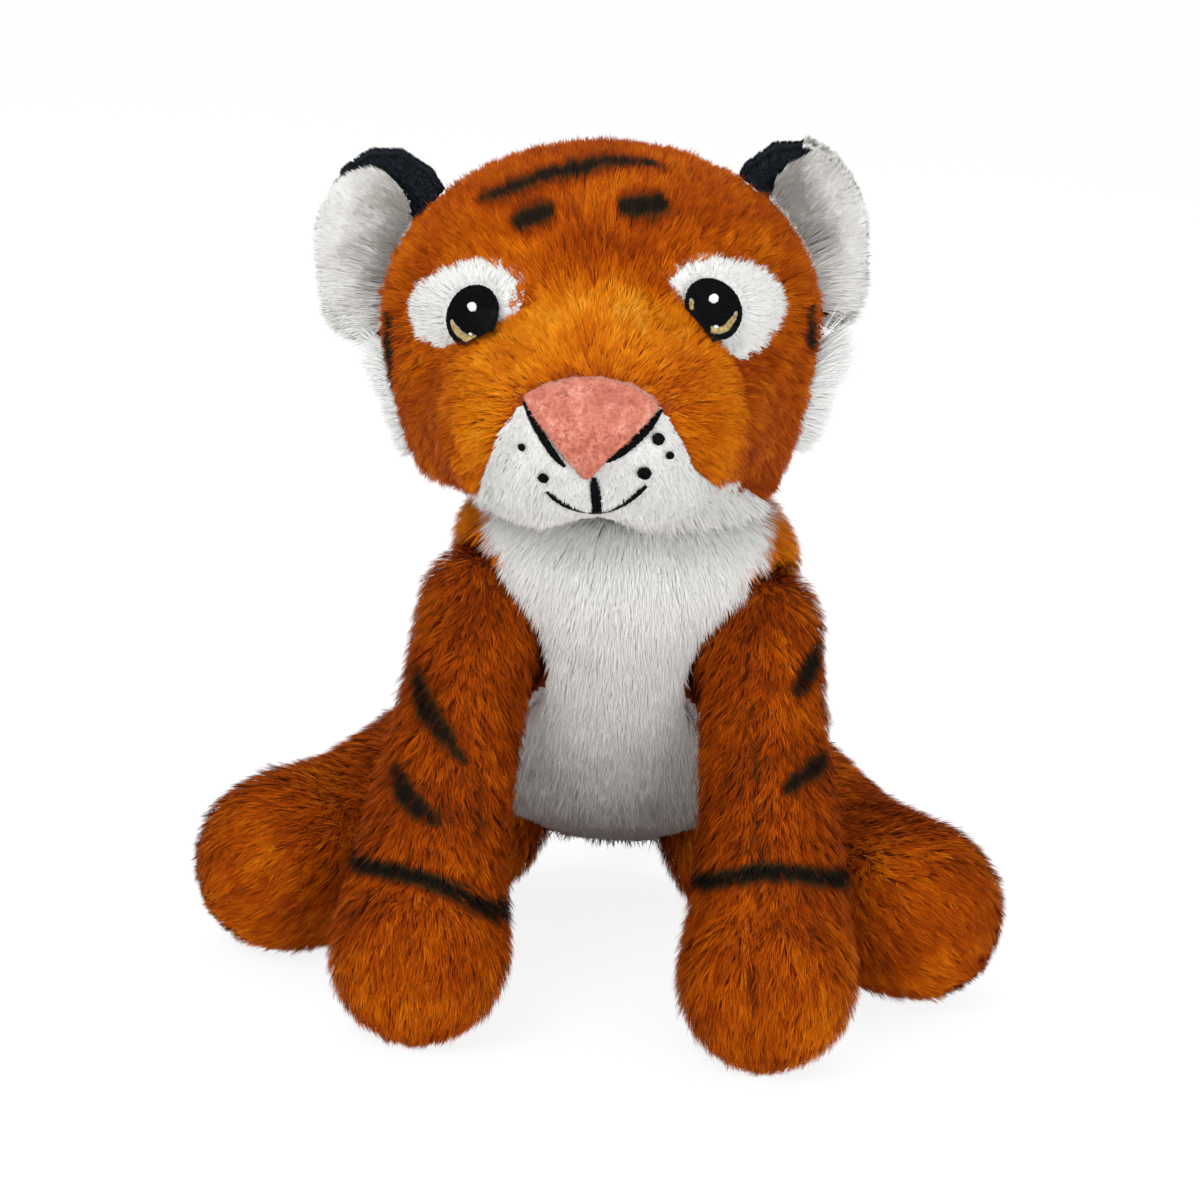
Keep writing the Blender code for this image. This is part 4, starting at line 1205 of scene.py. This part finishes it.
def make_head():
    rng = np.random.default_rng(31)
    mesh = remeshed("head_stuffing", VOXEL, 4)
    points, _, normals = mesh_arrays(mesh)
    short = tree_of("nose", "eye_patch_left", "eye_patch_right", "chin_panel")
    under = spread(mesh, covered(points, normals, short).astype(float), 3)
    lift_mesh(mesh, SHORT_SKIN_RISE * under - SKIN_DEPTH * (1 - under))
    skin = tree_of("head_skin")
    creases = [photo_points(line, skin) for line in FACE_CREASES]
    creased(mesh, creases, 1.3)
    swollen(mesh, creases)
    form_piece("head_form", mesh, "head", "orange_plush", ["orange_cloth", "white_cloth"],
               ["head_skin", "head_stuffing"], white=head_patches(*face_middles(mesh)) >= 0)
    form = tree_from([mesh])
    nose_outline = flat_points(NOSE_OUTLINE, form)
    points, normals, places, thread_gap = head_points(mesh, form, nose_outline, rng)
    patch = head_patches(points, normals)
    combs = along_surface(head_combs(places, patch) @ np.array(HEAD)[:3, :3].T, normals)
    lengths = head_lengths(points, places, patch, thread_gap, rng)
    shares, tints = face_shading(points, places, creases, skin)
    lengths *= shares
    orange = patch < 0
    coat = grown(*picked(orange, points, normals, combs, lengths, tints), head_dye(skin), rng,
                 lift=FACE_LIFT, half_width=FACE_STRAND_HALF_WIDTH, clump=12, gather=0.20)
    at = places[orange]
    behind, left = at[:, 1] > 0.012, at[:, 0] < 0
    front = ~behind & (np.abs(at[:, 0]) < 0.044) & (at[:, 2] < 0.062) & (at[:, 1] < -0.020)
    panels = {
        "head_back_pile_left": behind & left, "head_back_pile_right": behind & ~left, "muzzle_pile": front,
        "head_pile_left": ~behind & ~front & left, "head_pile_right": ~behind & ~front & ~left,
    }
    for name, mask in panels.items():
        link_coat(name, coat.part(mask), "head", "orange_plush")
    for k, name in enumerate(WHITE_PATCHES):
        on, spots = tufted(np.flatnonzero(patch == k), points, normals, rng)
        # Painted light raises the ruffs' tint, as they face away from the lamps.
        tints = WHITE_TINT + 0.08 * patchiness(points[on], 0.008) + 0.35 * (k > CHIN) - 0.12 * (k == CHIN)
        under_chin = np.clip(-normals[on][:, 2] * 1.4, 0, 1) if k == CHIN else 0
        coat = grown(spots, normals[on], combs[on], lengths[on], tints, no_dye, rng,
                     lift=PATCH_LIFTS[k] + 40 * under_chin, stray=0.06,
                     turned=(0, -1.4, 0.3) if k > CHIN else (0, 0, 0), **WHITE_PILE)
        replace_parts(link_coat(name + "_pile", coat, "head", "white_plush"), name)
    make_nose(nose_outline)
    make_eyes()
    make_lines(form)


def make_nose(outline):
    """Felt cut to the outline, with soft edges and a short fuzz."""
    rng = np.random.default_rng(51)
    mesh = remeshed("nose", NOSE_VOXEL, 5)
    lift_mesh(mesh, np.full(len(mesh.vertices), NOSE_SWELL))
    places = to_head(mesh_arrays(mesh)[0])
    places[:, [0, 2]] = drawn_in(places[:, [0, 2]], outline)
    places = array_of(HEAD @ Vector(place) for place in places)
    mesh.vertices.foreach_set("co", places.astype(np.float32).ravel())
    mesh.update()
    form_piece("nose_felt", mesh, "head", "pink_felt", ["pink_felt"], ["nose"])
    points, normals = scattered(mesh, FUZZ_DENSITY, rng)
    points, normals = picked(normals[:, 1] < 0.2, points, normals)
    combs = along_surface(rng.normal(0, 1, points.shape), normals)
    tints = 0.42 + 0.4 * patchiness(points, 0.004) + 0.2 * patchiness(points, 0.0015)
    flat = to_head(points)[:, [0, 2]]
    rim = line_distance(flat, np.vstack([outline, outline[:1]]))[0]
    # Painted light along the felt's rim and painted shade on its lower part.
    tints += 0.45 * graded(rim, 0.0016, 0.0) - 0.35 * graded(flat[:, 1], 0.034, 0.024)
    coat = grown(points, normals, combs, np.full(len(points), FUZZ_LENGTH), tints, no_dye, rng, lift=20.0,
                 half_width=FUZZ_HALF_WIDTH, clump=4, gather=0.1)
    link("nose_fuzz", coat.mesh("nose_fuzz", MATERIALS["pink_fuzz"]), "head", "pink_felt")


# Embroidery


def facing(tree, lift=Vector()):
    """Finds the (place, normal) that the lift brings straight behind a place on the face."""
    turn = HEAD.to_3x3()
    moved = turn.inverted() @ lift

    def found(x, z):
        start = HEAD @ Vector((x - moved.x, -RAY_START, z - moved.z))
        place, normal = tree.ray_cast(start, turn @ Vector((0, 1, 0)))[:2]
        return None if place is None else (np.array(place + lift), np.array(normal))
    return found


def thread_rows(surface, centre, reach, turn, inside, rng):
    """Side-by-side runs of (place, normal) over a place on the face, laid at the turn from level."""
    along = np.array([math.cos(turn), math.sin(turn)])
    over = np.array([-along[1], along[0]])
    rows = []
    for offset in np.arange(-reach, reach, THREAD_GAP):
        shift = rng.normal(0, THREAD_STEP * 0.35)
        row = []
        for step in np.arange(-reach + shift, reach, THREAD_STEP):
            x, z = np.array(centre) + over * offset + along * step
            hit = surface(x, z) if inside(x, z) else None
            if hit is not None:
                row.append(hit)
            elif row:
                rows.append(row)
                row = []
        rows.append(row)
    return [row for row in rows if len(row) > 1]


def threads_mesh(name, rows, material):
    """Rounded threads, dipping in at their ends."""
    points, faces = [], []
    for row in rows:
        places, normals = (np.array([pair[k] for pair in row]) for k in range(2))
        way = unit(np.gradient(places, axis=0))
        side = np.cross(way, normals) * THREAD_HALF_WIDTH
        dip = np.zeros(len(row))
        dip[[0, -1]] = THREAD_HEIGHT * 1.6
        middle = places - normals * dip[:, None]
        rings = [middle - side, middle + normals * THREAD_HEIGHT, middle + side]
        base = len(points) * 3
        points.extend(np.stack(rings, 1))
        steps = base + 3 * np.arange(len(row) - 1)[:, None]
        faces.extend(steps + corner for corner in (np.array([0, 1, 4, 3]), np.array([1, 2, 5, 4])))
    return mesh_from(name, np.concatenate(points), [np.concatenate(faces)], material)


def stitched(name, replaced, slot, rows, body="head"):
    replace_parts(link(name, threads_mesh(name, rows, MATERIALS[slot]), body, slot), replaced)


def eye_middles():
    """Where each eye's middle lies, in the head's own x and z."""
    return {side: flat_points([eye["pixel"]], tree_of("eye_" + side))[0] for side, eye in EYES.items()}


def make_eyes():
    """Satin stitch: a leaning black eye with a thin gold edge below and white glints."""
    rng = np.random.default_rng(61)
    stuffing = tree_of("head_stuffing")
    for side, sign in SIDES.items():
        centre = EYE_MIDDLES[side]
        lean = math.radians(EYES[side]["lean"])
        under, normal = facing(stuffing)(*centre)
        over = facing(tree_of("eye_" + side))(*centre)[0]
        height = (over - under) @ normal

        def gold(x, z):
            across, along, beyond = (value[0] for value in eye_coordinates(np.array([[x, 0, z]]), side))
            ring = math.hypot(across / EYE_HALF_WIDTH, along / EYE_HALF_HEIGHT)
            angle = math.degrees(math.atan2(centre[1] - z, sign * (x - centre[0])))
            inner = GOLD_RING[0] + 0.14 * min(max((40 - angle) / 25, 0), 1)
            inner_mark = side == "right" and 0.70 < ring < 0.84 and 180 < angle % 360 < 206
            return (inner < ring < GOLD_RING[1] and 15 < angle < 100 or inner_mark) and beyond < -0.0002

        def glint(x, z):
            out, up = sign * (x - centre[0]), z - centre[1]
            return any(math.hypot(out - at_out, up - at_up) < radius for at_out, at_up, radius in GLINTS)

        def black(x, z):
            return bool(in_eye(np.array([[x, 0, z]]), side)[0]) and not gold(x, z)

        layers = [
            ("eye_stitches_", "eye_", "black_thread", black, 0.0, lean + math.radians(8) * sign),
            ("iris_stitches_", "eye_iris_", "gold_thread", gold, 0.00005, sign * math.radians(70)),
            ("glint_stitches_", "eye_glint_", "white_thread", glint, 0.0003, math.radians(80)),
        ]
        for name, node, slot, inside, above, turn in layers:
            surface = facing(stuffing, Vector(normal * (height + above)))
            rows = thread_rows(surface, centre, EYE_REACH, turn, inside, rng)
            stitched(name + side, node + side, slot, rows)


def make_lines(form):
    """The strokes of the mouth and the whisker dots, each in satin stitch across its length."""
    rng = np.random.default_rng(71)
    surface = facing(form, HEAD.to_3x3() @ Vector((0, -STROKE_RISE, 0)))
    for name, (line, half_width) in STROKES.items():
        line = flat_points(line, form)
        steps = np.linalg.norm(np.diff(line, axis=0), axis=1)
        travelled = np.concatenate([[0], np.cumsum(steps)])
        rows = []
        for place in np.arange(0, travelled[-1], THREAD_GAP):
            x, z = (np.interp(place, travelled, line[:, k]) for k in range(2))
            k = min(np.searchsorted(travelled, place, side="right"), len(steps)) - 1
            way = (line[k + 1] - line[k]) / steps[k]
            width = half_width * min(1, 0.45 + 0.55 * math.sin(math.pi * place / travelled[-1]) * 1.6)
            reach = width * (1 + rng.normal(0, 0.10))
            over = np.array([-way[1] + 0.2 * way[0], way[0] + 0.2 * way[1]])
            spots = np.array([x, z]) + np.outer(np.linspace(-reach, reach, 6), over)
            row = [hit for hit in (surface(*spot) for spot in spots) if hit is not None]
            if len(row) > 1:
                rows.append(row)
        stitched(name + "_stitches", name, "black_thread", rows)
    for name, (x, z, radius) in zip(DOTS, dot_circles()):
        def inside(at_x, at_z):
            return math.hypot(at_x - x, at_z - z) < radius

        rows = thread_rows(surface, (x, z), radius, math.radians(60), inside, rng)
        stitched(name + "_stitches", name, "black_thread", rows)


# Ears


EAR_DARK_EDGE = {
    "left": [(0.30, 0.50), (0.70, 0.36), (1.20, 0.22), (1.60, 0.16), (2.10, 0.13), (2.60, 0.08), (2.95, 0.0)],
    "right": [(0.30, 0.60), (0.70, 0.44), (1.20, 0.22), (1.50, 0.12), (1.75, 0.0)],
}


def ear_place(points, side):
    """(share of the way from the ear's middle to its rim, angle from its inner side over its top)."""
    low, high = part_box("ear_front_" + side)
    corners = to_head(np.array([low, high]))
    middle, halves = corners.mean(0), np.abs(corners[1] - corners[0]) / 2
    places = to_head(points)
    out = SIDES[side] * (places[:, 0] - middle[0]) / halves[0]
    up = (places[:, 2] - middle[2]) / halves[2]
    return np.hypot(out, up), np.arctan2(up, -out)


def turned_over(points, side, layer):
    """True where a layer of the ear has the other's colour: at the front's edge and the back's rim."""
    share, angle = ear_place(points, side)
    angles, widths = zip(*EAR_DARK_EDGE[side])
    edge = np.interp(angle, angles, widths, left=0.0, right=0.0)
    return share > 1 - edge if layer == "front" else (share > 0.7) & (edge < 0.06)


def make_ears():
    """White in front and dark behind, where the dark cloth folds over the top of the inner edge."""
    layers = [("front", "back", "white", "dark"), ("back", "front", "dark", "white")]
    for side, sign in SIDES.items():
        coats = {"white": [], "dark": []}
        base = np.array(HEAD @ Vector((sign * 0.036, 0.004, 0.052)))
        for layer, partner, colour, other in layers:
            name = f"ear_{layer}_{side}"
            mesh = remeshed(name, EAR_VOXEL, 3)
            form_piece(name + "_form", mesh, "head", colour + "_plush", [colour + "_cloth", other + "_cloth"],
                       [name], white=turned_over(face_middles(mesh)[0], side, layer))
            points, normals = scattered(mesh, EAR_DENSITY, np.random.default_rng(41))
            for neighbour in (f"ear_{partner}_{side}", "head_skin"):
                points, normals = thinned(points, normals, tree_of(neighbour), 0.0010)
            combs = along_surface(points - base, normals)
            over = turned_over(points, side, layer)
            for dyed, mask in ((colour, ~over), (other, over)):
                coats[dyed].append(picked(mask, points, normals, combs))
        for colour, rows in coats.items():
            points, normals, combs = (np.concatenate(column) for column in zip(*rows))
            if colour == "white":
                on, points = tufted(np.arange(len(points)), points, normals, np.random.default_rng(42))
                normals, combs = normals[on], combs[on]
            tints = 0.6 + 0.2 * patchiness(points, 0.008)
            share, angle = ear_place(points, side)
            # Painted shade: darker towards the middle of the ear's cup and next to the head.
            shaded_inward = graded(np.abs(to_head(points)[:, 0]), 0.066, 0.052)
            tints += -0.30 + 0.15 * graded(share, 0.4, 0.8) - 0.35 * shaded_inward
            low = np.exp(-(((angle + 1.9 + math.pi) % (2 * math.pi) - math.pi) / 0.7) ** 2)
            lengths = EAR_LENGTH * (1 - 0.4 * (share > 0.82) * (1 - low))
            lengths *= 0.45 if colour == "dark" else 1 + low
            coat = grown(points, normals, combs, lengths, tints, no_dye, np.random.default_rng(43),
                         lift=15.0, stray=0.06, **WHITE_PILE)
            link_coat(f"ear_pile_{colour}_{side}", coat, "head", colour + "_plush")


def make_seam():
    """The hand-sewn ladder stitches that close the back."""
    low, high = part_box("closing_seam")
    skin = tree_of("torso_skin")
    rows = []
    for height in np.arange(low.z, high.z, SEAM_GAP):
        row = []
        for x in np.linspace(-SEAM_HALF_WIDTH, SEAM_HALF_WIDTH, 7):
            place, normal = skin.ray_cast(Vector((x, RAY_START, height + x * 0.4)), Vector((0, -1, 0)))[:2]
            row.append((np.array(place + normal * SEAM_RISE), np.array(normal)))
        rows.append(row)
    stitched("closing_stitches", "closing_seam", "sewing_thread", rows, "torso")


bpy.context.scene.view_settings.view_transform = "Standard"
make_camera()
EYE_MIDDLES = eye_middles()
make_floor()
make_light()
make_legs()
make_tail()
make_torso()
make_head()
make_ears()
make_seam()
NODES["pellet_bag"].material_slots[0].material = MATERIALS["cotton"]
